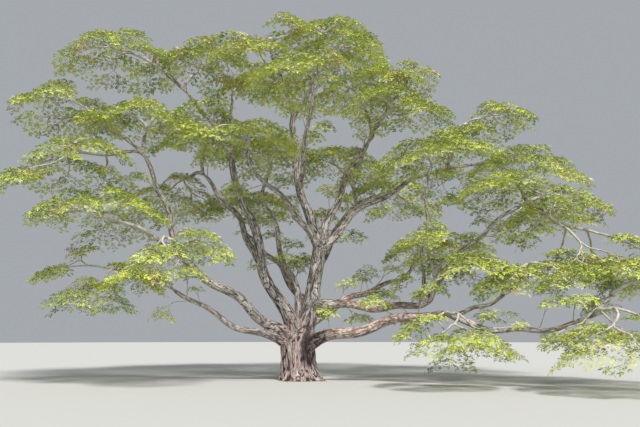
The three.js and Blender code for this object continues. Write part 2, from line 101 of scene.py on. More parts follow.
# The root toes: where each stands, how far it stands out at the ground and its half width in degrees.
Toe = namedtuple("Toe", "bearing stand half")
TOES = (
    Toe(335, 0.43, 20),
    Toe(285, 0.19, 24),
    Toe(235, 0.24, 18),
    Toe(182, 0.15, 22),
    Toe(130, 0.3, 20),
    Toe(78, 0.2, 22),
    Toe(25, 0.27, 20),
)
TOE_FADE = 0.26

# The boughs, with the model's names and numbers. "at" is the share of the parent's length where one starts,
# and its tip stands at a bearing, a reach and a height. "bow" arches its middle up, "swing" bends it to the
# left, and "radii" are at its root and tip.
Bough = namedtuple("Bough", "parent at bearing reach height bow swing radii")
BOUGHS = {
    "leader": Bough("trunk", 0.98, 256, 1.25, 9.9, 0, -0.35, (0.2, 0.115)),
    "leader_left": Bough("leader", 1, 246, 2.2, 11.5, 0, 0.12, (0.1, 0.065)),
    "leader_right": Bough("leader", 0.97, 311, 0.9, 11.6, 0, -0.15, (0.1, 0.065)),
    "front_high": Bough("leader", 0.45, 277, 3.95, 9.7, -0.25, 0, (0.105, 0.06)),
    "upper_left": Bough("trunk", 0.95, 221, 2.3, 7.6, 0.15, 0, (0.14, 0.075)),
    "upper_right": Bough("trunk", 0.96, 14, 2.85, 9.5, 0.15, 0, (0.165, 0.095)),
    "right_fork": Bough("upper_right", 1, 7, 4.1, 11.5, 0.1, 0, (0.085, 0.055)),
    "far_right": Bough("trunk", 0.9, 16, 6.15, 8.5, 0.5, 0, (0.15, 0.075)),
    "left_riser": Bough("trunk", 0.28, 198, 2.85, 8.4, -0.25, 0, (0.25, 0.12)),
    "riser_left": Bough("left_riser", 1, 199, 4.6, 10.7, 0.1, 0, (0.1, 0.065)),
    "riser_right": Bough("left_riser", 0.97, 186, 2.8, 11, 0.1, 0, (0.09, 0.055)),
    "left_fork": Bough("left_riser", 0.42, 162, 4.3, 8.2, 0.15, 0, (0.14, 0.075)),
    "left_inner": Bough("trunk", 0.33, 135, 2.25, 7.2, 0.25, 0, (0.15, 0.075)),
    "left_long": Bough("trunk", 0.27, 204, 4.65, 4.4, -0.1, 0, (0.205, 0.13)),
    "left_long_riser": Bough("left_long", 1, 201, 6, 8, 0.1, 0, (0.125, 0.075)),
    "left_low": Bough("trunk", 0.24, 196, 4.8, 3.3, -0.25, 0.15, (0.16, 0.07)),
    "right_upper": Bough("trunk", 0.55, 349, 4.65, 2.7, -0.1, 0.45, (0.175, 0.12)),
    "right_diagonal": Bough("right_upper", 1, 352, 8.4, 6.4, 0.4, 0, (0.11, 0.065)),
    "right_upright": Bough("right_upper", 0.97, 350, 4.9, 7.3, 0, 0, (0.075, 0.05)),
    "right_lower": Bough("trunk", 0.23, 331, 5.7, 2.35, 0.15, 0, (0.22, 0.145)),
    "right_outer": Bough("right_lower", 1, 333, 10, 2.15, -0.5, 0, (0.12, 0.07)),
    "right_shelf": Bough("right_lower", 0.93, 343, 7.6, 3.1, -0.2, 0, (0.095, 0.06)),
    "right_back": Bough("trunk", 0.38, 37, 5.35, 4, 0.2, 0, (0.165, 0.08)),
    "back_left": Bough("trunk", 0.5, 124, 4.85, 6.2, 0.2, 0, (0.155, 0.08)),
    "back_right": Bough("trunk", 0.74, 62, 5.2, 7.6, 0.3, 0, (0.15, 0.08)),
}
# How far a bough wanders from its smooth bend, as a share of its length, and in how many waves.
WANDER = 0.02
WAVES = {"side": 1.5, "lift": 2}

# The masses of foliage. Each is a low dome whose top stands at a bearing, a reach and a "crest" height. It
# is "across" wide along X and "depth" along Y, and grows from the tip of its bough.
Mass = namedtuple("Mass", "bough bearing reach crest across depth")
MASSES = {
    "top_left": Mass("leader_left", 243, 3, 12.65, 4.6, 4.6),
    "top_middle": Mass("leader_right", 320, 1.3, 13.4, 4.4, 4.6),
    "top_front": Mass("front_high", 277, 5.2, 11.2, 4.6, 4.4),
    "top_right": Mass("upper_right", 30, 3, 13.2, 4.1, 4.4),
    "right_crown": Mass("right_fork", 345, 3.8, 12.3, 3.4, 3.7),
    "right_of_leader": Mass("upper_right", 338, 4, 10.6, 4.1, 4.1),
    "far_right_top": Mass("far_right", 10, 7.5, 11.3, 4.8, 4.6),
    "far_right_side": Mass("far_right", 14, 9.7, 9.3, 4.6, 4.6),
    "riser_top": Mass("riser_left", 193, 3.9, 13, 3.9, 4),
    "thin_top": Mass("riser_right", 142, 2.5, 13.1, 3.4, 3.6),
    "left_top": Mass("riser_left", 200, 7.1, 12.7, 4.4, 4.4),
    "left_side": Mass("left_long_riser", 203, 8.5, 8, 4.6, 4.6),
    "left_side_top": Mass("left_long_riser", 195, 8.6, 10.2, 4.1, 4.4),
    "left_upper": Mass("left_long_riser", 206, 6.1, 10.3, 4.6, 4.6),
    "left_back_high": Mass("left_fork", 155, 4.8, 10.8, 4.8, 4.8),
    "left_back_low": Mass("left_fork", 150, 6.9, 8.7, 4.8, 4.8),
    "centre_left": Mass("upper_left", 230, 3.5, 9.7, 4.6, 4.6),
    "left_wing": Mass("left_long", 206, 7.4, 6.2, 4.6, 4.6),
    "left_front": Mass("left_long", 224, 5.6, 5.1, 4.1, 4.1),
    "left_skirt": Mass("left_low", 192, 7.2, 4.4, 4.8, 4.6),
    "back_inner": Mass("left_inner", 115, 3.3, 10.3, 4.6, 4.6),
    "back_left_dome": Mass("back_left", 116, 6.1, 8.5, 5.1, 4.8),
    "back_right_dome": Mass("back_right", 70, 5.2, 10.6, 4.8, 4.8),
    "back_right_side": Mass("back_right", 55, 7.5, 8.9, 4.8, 4.8),
    "back_right_skirt": Mass("right_back", 36, 7.6, 6.3, 5.1, 4.8),
    "right_inner": Mass("right_upright", 346, 5.35, 9.1, 4.8, 4.8),
    "right_wing": Mass("right_diagonal", 0, 9.7, 7.2, 4.6, 4.8),
    "right_slope": Mass("right_diagonal", 343, 8.2, 7.6, 4.6, 4.6),
    "right_tip": Mass("right_diagonal", 345, 10.7, 4.9, 4.6, 4.4),
    "right_mid": Mass("right_upper", 339, 5.9, 5.3, 4.6, 4.1),
    "right_ledge": Mass("right_shelf", 343, 8.8, 4.5, 5.1, 4.1),
    "right_skirt": Mass("right_outer", 328, 10.9, 2.6, 4.4, 3.9),
    "right_end": Mass("right_outer", 340, 12, 4, 4.4, 4.4),
    "right_low": Mass("right_lower", 318, 6.5, 2.35, 3.7, 3.4),
}

# The crown's regions. Each has one piece of boughs, one of twigs and one of leaves.
REGIONS = {
    "left_high": ("left_riser", "riser_left", "riser_right", "left_fork", "left_inner"),
    "left_low": ("left_long", "left_long_riser", "left_low"),
    "top": ("leader", "leader_left", "leader_right", "front_high"),
    "upper": ("upper_left", "upper_right", "right_fork", "far_right"),
    "back": ("back_left", "back_right", "right_back"),
    "right_high": ("right_upper", "right_diagonal", "right_upright"),
    "right_low": ("right_lower", "right_outer", "right_shelf"),
}
# The boughs whose bark has the warm, pinkish mottling.
WARM_BOUGHS = ("right_upper", "right_lower", "right_outer", "right_shelf", "right_back")

# The rule by which a mass forks, as in the model. Its rim hangs below its crest by DROOP of its mean width.
# Its parts step down or up within TIER at fork TIER_FORKS, and its sprays by LUMP more. A fork stands at a
# share of the way to the middle of its cell, and a cell splits in two until it is smaller than SPRAY_AREA.
# A twig is TWIG_RADIUS thick for each metre of its cell's mean width.
DROOP = 0.2
TIER = (-0.95, 0.3)
TIER_FORKS = 2
LUMP = 0.19
STEM_SHARE = 0.38
FORK_SHARE = 0.45
SPLIT = (0.4, 0.6)
SPRAY_AREA = 1.5
TWIG_RADIUS = 0.019
# Each part of a mass has this many draws of chance to itself, for these uses.
DRAWS = 8
LUMP_DRAW, CUT_DRAW, TIER_DRAW, STEP_DRAW, SIZE_DRAW, TINT_DRAW = range(6)
# Inside a spray the rule goes on until a cell holds one tuft of leaves: how far a step down in size lifts or
# drops a twig for each metre of its cell, and how far the spray's rim hangs for each metre of radius, at
# most CUSHION_MOST times over.
FINE_JITTER = 0.2
CUSHION = 0.2
CUSHION_MOST = 2.0
# How much of a twig's own length its bend towards its last heading takes, how far it waves from that bend,
# and how fast the wave's phase runs from twig to twig.
HEADING_SHARE = 0.42
TWIG_WANDER = 0.055
PHASE_RATE = 7.3
# A twig starts at this share of the change from the last twig's radius to its own. One that ends in a tuft
# is thicker than its cell says, because it tapers to a point. Tufts vary in size within TUFT_SIZE.
TWIG_STEP = 0.4
LAST_TWIG = 1.3
TUFT_SIZE = (0.8, 1.2)
# Limbs also carry small leafy shoots by the same rule, one every SHOOT_STEP from SHOOT_FROM of their length
# on. They lean forward along the limb by SHOOT_LEAN, rise by SHOOT_RISE, reach out by SHOOT_REACH and are
# SHOOT_WIDTH of that wide. Each turns SHOOT_TURN further round its limb.
SHOOT_STEP = 0.33
SHOOT_FROM = 0.16
TRUNK_SHOOT_FROM = 0.4
SHOOT_TO = 0.98
SHOOT_LEAN = 0.5
SHOOT_RISE = (0.2, 0.9)
SHOOT_REACH = (0.4, 1.4)
SHOOT_WIDTH = (0.55, 1.0)
SHOOT_TURN = 137.5
# A shoot starts at this level of twig, and one of this width would step up and down as much as a mass.
SHOOT_LEVEL = 3
SHOOT_TIER_WIDTH = 4.6
# All twigs but the stems keep this far from every limb, and this far inside the model's box and above the
# ground. They are tested at CLEAR_AT of their length and at their end, every LIMB_SAMPLE of a limb.
LIMB_CLEAR = 0.03
BOX_CLEAR = 0.04
GROUND_CLEAR = 0.2
CLEAR_AT = 0.6
LIMB_SAMPLE = 0.08


def chance(seed, key):
    """A repeatable number from 0 to 1 for a seed and a key."""
    mask = 0xFFFFFFFF
    value = ((seed + 1) * 0x9E3779B1 & mask) ^ ((key + 1) * 0x85EBCA6B & mask)
    value = (value ^ value >> 15) * 0x2C1B3C6D & mask
    value = (value ^ value >> 12) * 0x297A2D39 & mask
    return (value ^ value >> 15) / 2**32


def mix(low, high, share):
    return low + (high - low) * share


def smoothstep(low, high, value):
    share = np.clip((value - low) / (high - low), 0, 1)
    return share * share * (3 - 2 * share)


def unit(vectors):
    return vectors / np.maximum(np.linalg.norm(vectors, axis=-1, keepdims=True), 1e-9)


def place(bearing, reach, height):
    """The point at a bearing, a reach from the trunk's foot and a height."""
    turn = math.radians(bearing)
    return np.array((reach * math.cos(turn), reach * math.sin(turn), height))


def trunk_at(height, key):
    """The trunk's lean or radius at a height, on a smooth curve through its rings."""
    upper = max(1, next((row for row, ring in enumerate(TRUNK) if ring.height >= height), len(TRUNK) - 1))
    rows = [TRUNK[min(max(row, 0), len(TRUNK) - 1)] for row in range(upper - 2, upper + 2)]
    values = [getattr(row, key) for row in rows]
    span = rows[2].height - rows[1].height
    share = (height - rows[1].height) / span

    def slope(start, end):
        return (values[end] - values[start]) / max(0.001, rows[end].height - rows[start].height) * span

    cubic = share * share * (3 - 2 * share)
    return mix(values[1], values[2], cubic) + share * (1 - share) * (
        (1 - share) * slope(0, 2) - share * slope(1, 3)
    )


class Limb:
    """A tapering limb: the points along its middle, the direction to its side and its radius."""

    def __init__(self, path, side, radius, start=0.0, warm=0.0):
        self.path = path
        self.side = side
        self.radius = radius
        self.start = start
        self.warm = warm
        ends = path(np.array((0.0, 1.0)))
        self.span = float(np.linalg.norm(ends[1] - ends[0]))

    def frames(self, shares):
        """Middles, headings, sides and lifts at shares of the limb's length."""
        step = 1e-4
        ahead = self.path(np.minimum(shares + step, 1))
        heading = unit(ahead - self.path(np.maximum(shares - step, 0)))
        side = unit(self.side - heading * (heading @ self.side)[:, None])
        return self.path(shares), heading, side, np.cross(heading, side)


def bough_path(root, tip, bough, seed):
    """The path of a bough, a smooth bend that wanders a little, and the direction to its side."""
    chord = tip - root
    span = np.linalg.norm(chord)
    turn = math.atan2(chord[1], chord[0])
    side = np.array((-math.sin(turn), math.cos(turn), 0.0))
    lift = np.cross(chord / span, side)
    bend = (root + tip) / 2 + lift * 2 * bough.bow + side * 2 * bough.swing
    phases = chance(seed, 1), chance(seed, 2)

    def path(shares):
        along = np.asarray(shares, float)[:, None]
        smooth = (1 - along) ** 2 * root + 2 * (1 - along) * along * bend + along**2 * tip
        swell = WANDER * span * np.sin(math.pi * along)
        sideways = np.sin(2 * math.pi * (WAVES["side"] * along + phases[0]))
        upwards = np.sin(2 * math.pi * (WAVES["lift"] * along + phases[1]))
        return smooth + side * swell * sideways + lift * swell * upwards

    return path, side


# A bough is thicker by COLLAR where it leaves its parent, but no thicker than COLLAR_MOST of it, and this
# fades over COLLAR_FADE of its radius.
COLLAR = 0.45
COLLAR_MOST = 0.92
COLLAR_FADE = 1.6


def flared(radii, span, inside):
    """A bough's radius along it: an even taper, and a collar where it leaves a parent of radius "inside"."""
    def radius(shares):
        plain = mix(radii[0], radii[1], shares)
        out = np.maximum(shares * span - inside, 0)
        collar = plain * (1 + COLLAR * np.exp(-out / (COLLAR_FADE * radii[0])))
        return np.minimum(collar, np.maximum(plain, COLLAR_MOST * inside))
    return radius


def trunk_path(shares):
    heights = np.asarray(shares, float) * TRUNK_TOP
    leans = np.array([trunk_at(max(height, 0.0), "lean") for height in heights])
    return np.column_stack((leans, np.zeros_like(heights), heights))


def trunk_radius(shares):
    heights = np.maximum(np.asarray(shares, float) * TRUNK_TOP, 0)
    return np.array([trunk_at(height, "radius") for height in heights])


class Trunk(Limb):
    """The trunk, whose rings all lie level."""

    def __init__(self):
        super().__init__(trunk_path, np.array((1.0, 0.0, 0.0)), trunk_radius)

    def frames(self, shares):
        axes = ((0.0, 0.0, 1.0), (1.0, 0.0, 0.0), (0.0, 1.0, 0.0))
        return self.path(shares), *(np.tile(axis, (len(shares), 1)) for axis in axes)


def grow_limbs():
    """Every limb by name, the trunk first."""
    limbs = {"trunk": Trunk()}
    for seed, (name, bough) in enumerate(BOUGHS.items()):
        parent = limbs[bough.parent]
        at = np.array((float(bough.at),))
        root = parent.path(at)[0]
        tip = place(bough.bearing, bough.reach, bough.height)
        path, side = bough_path(root, tip, bough, seed)
        inside = float(parent.radius(at)[0])
        radius = flared(bough.radii, np.linalg.norm(tip - root), inside)
        limbs[name] = Limb(path, side, radius, inside, float(name in WARM_BOUGHS))
    return limbs


class Cell(namedtuple("Cell", "start end near far")):
    """A patch of a mass's round plan, between two turns and between two shares of the plan's area."""

    def middle(self):
        """The patch's middle, as a turn and a share of the plan's radius."""
        near, far = math.sqrt(self.near), math.sqrt(self.far)
        half = (self.end - self.start) / 2
        pull = math.sin(half) / half
        return self.start + half, (2 / 3) * (far**3 - near**3) * pull / (self.far - self.near)

    def split(self, mass, share):
        """Its two parts, cut across its longer side."""
        mean = (mass.across + mass.depth) / 4
        around = (self.end - self.start) * math.sqrt((self.near + self.far) / 2) * mean
        outward = (math.sqrt(self.far) - math.sqrt(self.near)) * mean
        if around > outward:
            turn = mix(self.start, self.end, share)
            return self._replace(end=turn), self._replace(start=turn)
        out = mix(self.near, self.far, share)
        return self._replace(far=out), self._replace(near=out)

    def area(self, mass):
        return mass.across * mass.depth / 8 * (self.far - self.near) * (self.end - self.start)

    def dome_point(self, mass):
        """The point of the mass's dome over the patch's middle."""
        turn, out = self.middle()
        top = place(mass.bearing, mass.reach, mass.crest)
        drop = DROOP * (mass.across + mass.depth) / 2
        return np.array((
            top[0] + out * math.cos(turn) * mass.across / 2,
            top[1] + out * math.sin(turn) * mass.depth / 2,
            top[2] - drop * out * out,
        ))


Twig = namedtuple("Twig", "start bend end first last level")
Tuft = namedtuple("Tuft", "point heading size tint")
# The tufts that share a twig TINT_FORKS forks back have one tint. It is dealt out by the first weights, and
# by the second ones in the masses whose crest is above TOP_CREST.
TINT_FORKS = 3
# The bright tint is the leaves' colour with painted light, and the deep tint is the same colour with painted
# shade. The top masses get less of the deep.
TINT_WEIGHTS = (0.27, 0.37, 0.07, 0.25, 0.04)
TOP_TINT_WEIGHTS = (0.28, 0.32, 0.12, 0.18, 0.1)
TOP_CREST = 12


class Crown:
    """Grows the twigs and tufts of every mass, and of the shoots along every limb."""

    def __init__(self, limbs, tuft_area):
        self.limbs = limbs
        self.tuft_area = tuft_area
        self.twigs = {}
        self.tufts = {}
        low, high = cad_box
        self.low = np.array(low) + (BOX_CLEAR, BOX_CLEAR, GROUND_CLEAR)
        self.high = np.array(high) - BOX_CLEAR
        samples = [
            (name, limb.path(shares), limb.radius(shares))
            for name, limb in limbs.items()
            for shares in (np.linspace(0, 1, int(limb.span / LIMB_SAMPLE) + 2),)
        ]
        self.limb_points = np.concatenate([points for _, points, _ in samples])
        self.limb_radii = np.concatenate([radii for _, _, radii in samples])

    def grow(self):
        for name in (*MASSES, *self.limbs):
            self.twigs[name] = []
            self.tufts[name] = []
        for seed, (name, mass) in enumerate(MASSES.items()):
            self.name = name
            bough = self.limbs[mass.bough]
            tip = np.array((1.0,))
            ends, headings, _, _ = bough.frames(tip)
            radius = float(bough.radius(tip)[0])
            self.fork(seed, mass, TIER, ends[0] - headings[0] * radius, headings[0], radius, 0)
        for number, (name, limb) in enumerate(self.limbs.items()):
            self.name = name
            self.shoots(limb, number, TRUNK_SHOOT_FROM if name == "trunk" else SHOOT_FROM)

    def fork(self, seed, mass, tier_range, start, heading, radius, level):
        """Grows all of one mass or shoot from its stem's start."""
        self.seed, self.mass, self.tier_range = seed, mass, tier_range
        turn = 2 * math.pi * chance(seed, 0)
        whole = Cell(turn, turn + 2 * math.pi, 0, 1)
        self.part(1, whole, start, heading, radius, level, 0.0, None)

    def shoots(self, limb, number, lowest):
        """Grows the leafy shoots of one limb, from a share of its length on."""
        count = int(limb.span * (1 - lowest) / SHOOT_STEP)
        for shoot in range(count):
            seed = len(MASSES) + len(self.limbs) * shoot + number
            spot, far, wide, high = (chance(seed, key) for key in range(1, 5))
            share = mix(lowest, SHOOT_TO, (shoot + spot) / count)
            middles, headings, sides, lifts = limb.frames(np.array((share,)))
            turn = math.radians(SHOOT_TURN * shoot)
            across = math.cos(turn) * sides[0] + math.sin(turn) * lifts[0]
            rise = np.array((0.0, 0.0, mix(*SHOOT_RISE, high)))
            way = unit(headings[0] * SHOOT_LEAN + across + rise)
            reach = mix(*SHOOT_REACH, far)
            width = mix(*SHOOT_WIDTH, wide) * reach
            top = middles[0] + way * reach
            bearing = math.degrees(math.atan2(top[1], top[0]))
            dome = Mass("", bearing, math.hypot(top[0], top[1]), top[2], width, width)
            tier_range = [step * width / SHOOT_TIER_WIDTH for step in TIER]
            self.fork(seed, dome, tier_range, middles[0], way, TWIG_RADIUS * width, SHOOT_LEVEL)

    def draw(self, path, use):
        """The part's draw of chance for one use."""
        return chance(self.seed, DRAWS * path + use)

    def clear(self, points, radius):
        """True where no limb is near the points and they lie inside the model's box."""
        if (points < self.low).any() or (points > self.high).any():
            return False
        away = points[:, None, :] - self.limb_points
        gaps = np.sqrt((away * away).sum(axis=2)) - self.limb_radii
        return bool((gaps > radius + LIMB_CLEAR).all())

    def part(self, path, cell, start, heading, first, level, tier, spray):
        """One twig and all that it carries. "spray" is the middle and radius of the spray it belongs to."""
        mass = self.mass
        area = cell.area(mass)
        target = cell.dome_point(mass)
        target[2] += tier
        radius = TWIG_RADIUS * math.sqrt(area)
        if area < SPRAY_AREA and spray is None:
            target[2] += LUMP * (2 * self.draw(path, LUMP_DRAW) - 1)
            tier = target[2] - cell.dome_point(mass)[2]
            spray = (target.copy(), math.sqrt(area / math.pi))
        elif spray is not None:
            across = np.hypot(*(target[:2] - spray[0][:2])) / spray[1]
            target[2] -= CUSHION * spray[1] * min(across * across, CUSHION_MOST)
            tier += FINE_JITTER * math.sqrt(area) * (self.draw(path, STEP_DRAW) - 0.5)
        ends_in_tuft = area < self.tuft_area
        share = STEM_SHARE if path == 1 else FORK_SHARE
        end = target if ends_in_tuft else mix(start, target, share)
        bend = start + heading * HEADING_SHARE * np.linalg.norm(end - start)
        if level > 0 and not self.clear(np.array((mix(start, end, CLEAR_AT), end)), radius):
            return False
        onward = unit(end - bend)
        if ends_in_tuft:
            size = mix(*TUFT_SIZE, self.draw(path, SIZE_DRAW))
            self.tufts[self.name].append(Tuft(end, onward, size, self.tint(path >> TINT_FORKS)))
            self.twigs[self.name].append(Twig(start, bend, end, radius * LAST_TWIG, 0.0, level))
            return True
        cut = mix(*SPLIT, self.draw(path, CUT_DRAW))
        steps = 2 ** (TIER_FORKS - 1) <= path < 2**TIER_FORKS
        carried = False
        for side, smaller in enumerate(cell.split(mass, cut)):
            after = 2 * path + side
            own = mix(*self.tier_range, self.draw(after, TIER_DRAW)) if steps else tier
            carried |= self.part(after, smaller, end, onward, radius, level + 1, own, spray)
        if carried:
            foot = mix(first, radius, TWIG_STEP)
            self.twigs[self.name].append(Twig(start, bend, end, foot, radius, level))
        return carried

    def tint(self, path):
        """The number of the tint that a spray's part is dealt."""
        weights = TOP_TINT_WEIGHTS if self.mass.crest > TOP_CREST else TINT_WEIGHTS
        return int(np.searchsorted(np.cumsum(weights), self.draw(path, TINT_DRAW) * sum(weights)))


def curve_points(starts, bends, ends, shares):
    """Points at shares along many curves at once, each with one bend and a slight wave across it."""
    along = np.asarray(shares)[None, :, None]
    starts, bends, ends = starts[:, None], bends[:, None], ends[:, None]
    smooth = (1 - along) ** 2 * starts + 2 * (1 - along) * along * bends + along**2 * ends
    outward = unit(starts * (1, 1, 0) + (0.01, 0, 0))
    across = np.cross(ends - starts, outward + (0, 0, 1))
    phases = np.modf(np.abs(starts).sum(axis=2, keepdims=True) * PHASE_RATE)[0]
    wave = np.sin(math.pi * along) * np.sin(2 * math.pi * (along + phases))
    return smooth + TWIG_WANDER * wave * across


def twig_tubes(twigs, sides, steps):
    """Corners and faces of tubes for twigs that share a number of sides and steps, closed at both ends."""
    starts, bends, ends, first, last = (
        np.array([getattr(twig, key) for twig in twigs]) for key in ("start", "bend", "end", "first", "last"))
    shares = np.linspace(0, 1, steps + 1)
    points = curve_points(starts, bends, ends, shares)
    headings = unit(mix((bends - starts)[:, None], (ends - bends)[:, None], shares[None, :, None]))
    chords = unit(ends - starts)
    reference = np.where(np.abs(chords[:, 2:]) < 0.9, (0.0, 0.0, 1.0), (1.0, 0.0, 0.0))
    across = np.cross(chords, reference)[:, None]
    across = unit(across - headings * (across * headings).sum(axis=2, keepdims=True))
    lifts = np.cross(headings, across)
    radii = mix(first[:, None], last[:, None], shares[None])[:, :, None, None]
    turns = np.linspace(0, 2 * math.pi, sides, endpoint=False)[None, None, :, None]
    spokes = np.cos(turns) * across[:, :, None] + np.sin(turns) * lifts[:, :, None]
    rings = points[:, :, None] + radii * spokes
    count, pointed = len(twigs), bool((last == 0).all())
    around = np.arange(sides)
    after = (around + 1) % sides
    if pointed:
        corners = np.concatenate((rings[:, :-1].reshape(count, -1, 3), points[:, -1:]), axis=1)
        end = steps * sides + np.column_stack((around - sides, after - sides, 0 * around))
    else:
        corners = rings.reshape(count, -1, 3)
        end = steps * sides + around[None]
    rows = np.arange(steps - pointed)[:, None] * sides
    quads = np.stack((rows + around, rows + after, rows + sides + after, rows + sides + around), axis=-1)
    offsets = (np.arange(count) * corners.shape[1])[:, None, None]
    faces = [quads.reshape(-1, 4), around[None, ::-1], end]
    return corners.reshape(-1, 3), [(offsets + block).reshape(-1, block.shape[1]) for block in faces]


def values_of(items, key, width, kind=np.float32):
    """What every item of a mesh holds under a key, one row for each."""
    values = np.empty(len(items) * width, kind)
    items.foreach_get(key, values)
    return values.reshape(-1, width)


def set_values(items, key, values, kind=np.float32):
    items.foreach_set(key, values.astype(kind).ravel())


def mesh_from_blocks(name, blocks):
    """One mesh from blocks of corners, lists of faces with as many sides, and a material's number."""
    corners, loops, lengths, materials, offset = [], [], [], [], 0
    for points, face_lists, material in blocks:
        corners.append(points)
        for faces in face_lists:
            loops.append((faces + offset).ravel())
            lengths.append(np.full(len(faces), faces.shape[1]))
            materials.append(np.full(len(faces), material))
        offset += len(points)
    corners, loops = np.concatenate(corners), np.concatenate(loops)
    lengths, materials = np.concatenate(lengths), np.concatenate(materials)
    mesh = bpy.data.meshes.new(name)
    mesh.vertices.add(len(corners))
    mesh.loops.add(len(loops))
    mesh.polygons.add(len(lengths))
    set_values(mesh.vertices, "co", corners)
    set_values(mesh.loops, "vertex_index", loops, np.int32)
    set_values(mesh.polygons, "loop_start", np.cumsum(lengths) - lengths, np.int32)
    set_values(mesh.polygons, "material_index", materials, np.int32)
    mesh.update(calc_edges=True)
    return mesh


# The tufts come in this many shapes, each with LEAVES leaves of two pairs of leaflets and one at the tip. A
# leaf turns off its even place by up to LEAF_SPREAD, rises by an angle, arches down by LEAF_ARCH and varies
# in length. Its stalk is RACHIS_WIDTH wide on both sides and ends at RACHIS_END of its length.
TUFT_SHAPES = 10
LEAVES = 3
LEAF_SPREAD = 0.3
LEAF_RISE = (-2, 32)
LEAF_ARCH = 0.38
LEAF_LENGTHS = (0.78, 1.12)
RACHIS_WIDTH = 0.02
RACHIS_END = 0.8
# Where the pairs and the last leaflet stand along a leaf, how far a leaflet turns from it and how much that
# varies, how far it rises and tilts, and how much of a leaf's length it is long and wide. It is widest at a
# share of its length, folds down on both sides of its rib and sags at its tip.
PAIR_PLACES = (0.42, 0.74)
LAST_PLACE = 0.82
LEAFLET_TURN = 58
LEAFLET_SWAY = 9
LEAFLET_RISE = (-0.15, 0.3)
LAST_RISE = (-0.5, -0.1)
LEAFLET_TILT = 0.25
LEAFLET_LENGTH = 0.56
LEAFLET_LENGTHS = (0.8, 1.05)
LEAFLET_WIDTH = 0.31
LEAFLET_WIDEST = 0.45
LEAFLET_FOLD = 0.35
LEAFLET_SAG = 0.14
# How much more a tuft faces up than along its twig, how much its facing scatters, and how far past the
# model's box a leaf may reach.
TUFT_UP = 1.8
TUFT_SCATTER = 0.16
LEAF_MARGIN = 0.1


def tuft_shape(seed):
    """Corners and triangles of one tuft of a unit leaf length, standing up from the origin."""
    draw = np.random.default_rng(seed)
    corners, faces = [], []

    def add(points, triangles):
        faces.extend([[len(corners) + index for index in triangle] for triangle in triangles])
        corners.extend(points)

    def leaflet(root, way, across, length):
        down = np.array((0.0, 0.0, -1.0))
        half = across * LEAFLET_WIDTH * length / LEAFLET_LENGTH / 2
        middle = root + way * length * LEAFLET_WIDEST
        tip = root + way * length + down * LEAFLET_SAG * length
        sag = down * LEAFLET_FOLD * np.linalg.norm(half)
        add([root, middle + half + sag, tip, middle - half + sag], [(0, 1, 2), (0, 2, 3)])

    for leaf in range(LEAVES):
        turn = 2 * math.pi * (leaf + draw.uniform(-LEAF_SPREAD, LEAF_SPREAD)) / LEAVES
        rise = math.radians(draw.uniform(*LEAF_RISE))
        length = draw.uniform(*LEAF_LENGTHS)
        out = np.array((math.cos(turn), math.sin(turn), 0.0))
        across = np.array((-math.sin(turn), math.cos(turn), 0.0))

        def spot(share):
            height = length * (share * math.sin(rise) - LEAF_ARCH * share * share)
            return out * share * length * math.cos(rise) + np.array((0, 0, height))

        width = across * RACHIS_WIDTH
        add([spot(0) + width, spot(0) - width, spot(RACHIS_END)], [(0, 1, 2)])
        for share in PAIR_PLACES:
            for side in (-1, 1):
                angle = math.radians(LEAFLET_TURN + draw.uniform(-LEAFLET_SWAY, LEAFLET_SWAY))
                level = out * math.cos(angle) + across * side * math.sin(angle)
                way = unit(level + np.array((0, 0, draw.uniform(*LEAFLET_RISE))))
                tilt = draw.uniform(-LEAFLET_TILT, LEAFLET_TILT, 3)
                cross = unit(np.cross(way, (0.0, 0.0, 1.0)) + tilt)
                size = LEAFLET_LENGTH * length * draw.uniform(*LEAFLET_LENGTHS)
                leaflet(spot(share), way, cross, size)
        way = unit(out + np.array((0, 0, draw.uniform(*LAST_RISE))))
        leaflet(spot(LAST_PLACE), way, across, LEAFLET_LENGTH * length)
    return np.array(corners), np.array(faces)


def leaf_blocks(tufts, leaf_length, seed):
    """Blocks of every tuft's corners and faces, one for each shape and tint."""
    shapes = [tuft_shape(shape) for shape in range(TUFT_SHAPES)]
    draw = np.random.default_rng(seed)
    kinds = draw.integers(0, TUFT_SHAPES, len(tufts))
    points, headings, sizes, tints = (
        np.array([getattr(tuft, key) for tuft in tufts]) for key in ("point", "heading", "size", "tint"))
    up = unit(headings + (0, 0, TUFT_UP) + draw.normal(0, TUFT_SCATTER, points.shape))
    spin = draw.uniform(0, 2 * math.pi, len(tufts))
    east = unit(np.cross(up, np.column_stack((np.sin(spin), np.cos(spin), np.zeros_like(spin)))))
    north = np.cross(up, east)
    turns = np.stack((east, north, up), axis=2) * (sizes * leaf_length)[:, None, None]
    low, high = np.array(cad_box[0]) - LEAF_MARGIN, np.array(cad_box[1]) + LEAF_MARGIN
    blocks = []
    for kind, (corners, faces) in enumerate(shapes):
        for tint in range(len(TINT_WEIGHTS)):
            chosen = np.flatnonzero((kinds == kind) & (tints == tint))
            if len(chosen) == 0:
                continue
            placed = np.einsum("tij,cj->tci", turns[chosen], corners) + points[chosen, None]
            offsets = (np.arange(len(chosen)) * len(corners))[:, None, None]
            inside = np.clip(placed.reshape(-1, 3), low, high)
            blocks.append((inside, [(offsets + faces).reshape(-1, 3)], tint))
    return blocks


def lattice_values(cells, seed):
    """A repeatable number from -1 to 1 for each whole-numbered point."""
    value = (cells.astype(np.int64) @ (374761393, 668265263, 1440662683) + seed * 974711) & 0xFFFFFFFF
    value = ((value ^ (value >> 13)) * 1274126177) & 0xFFFFFFFF
    value = ((value ^ (value >> 16)) * 2246822519) & 0xFFFFFFFF
    return ((value ^ (value >> 15)) & 0xFFFFFF) / 0x7FFFFF - 1


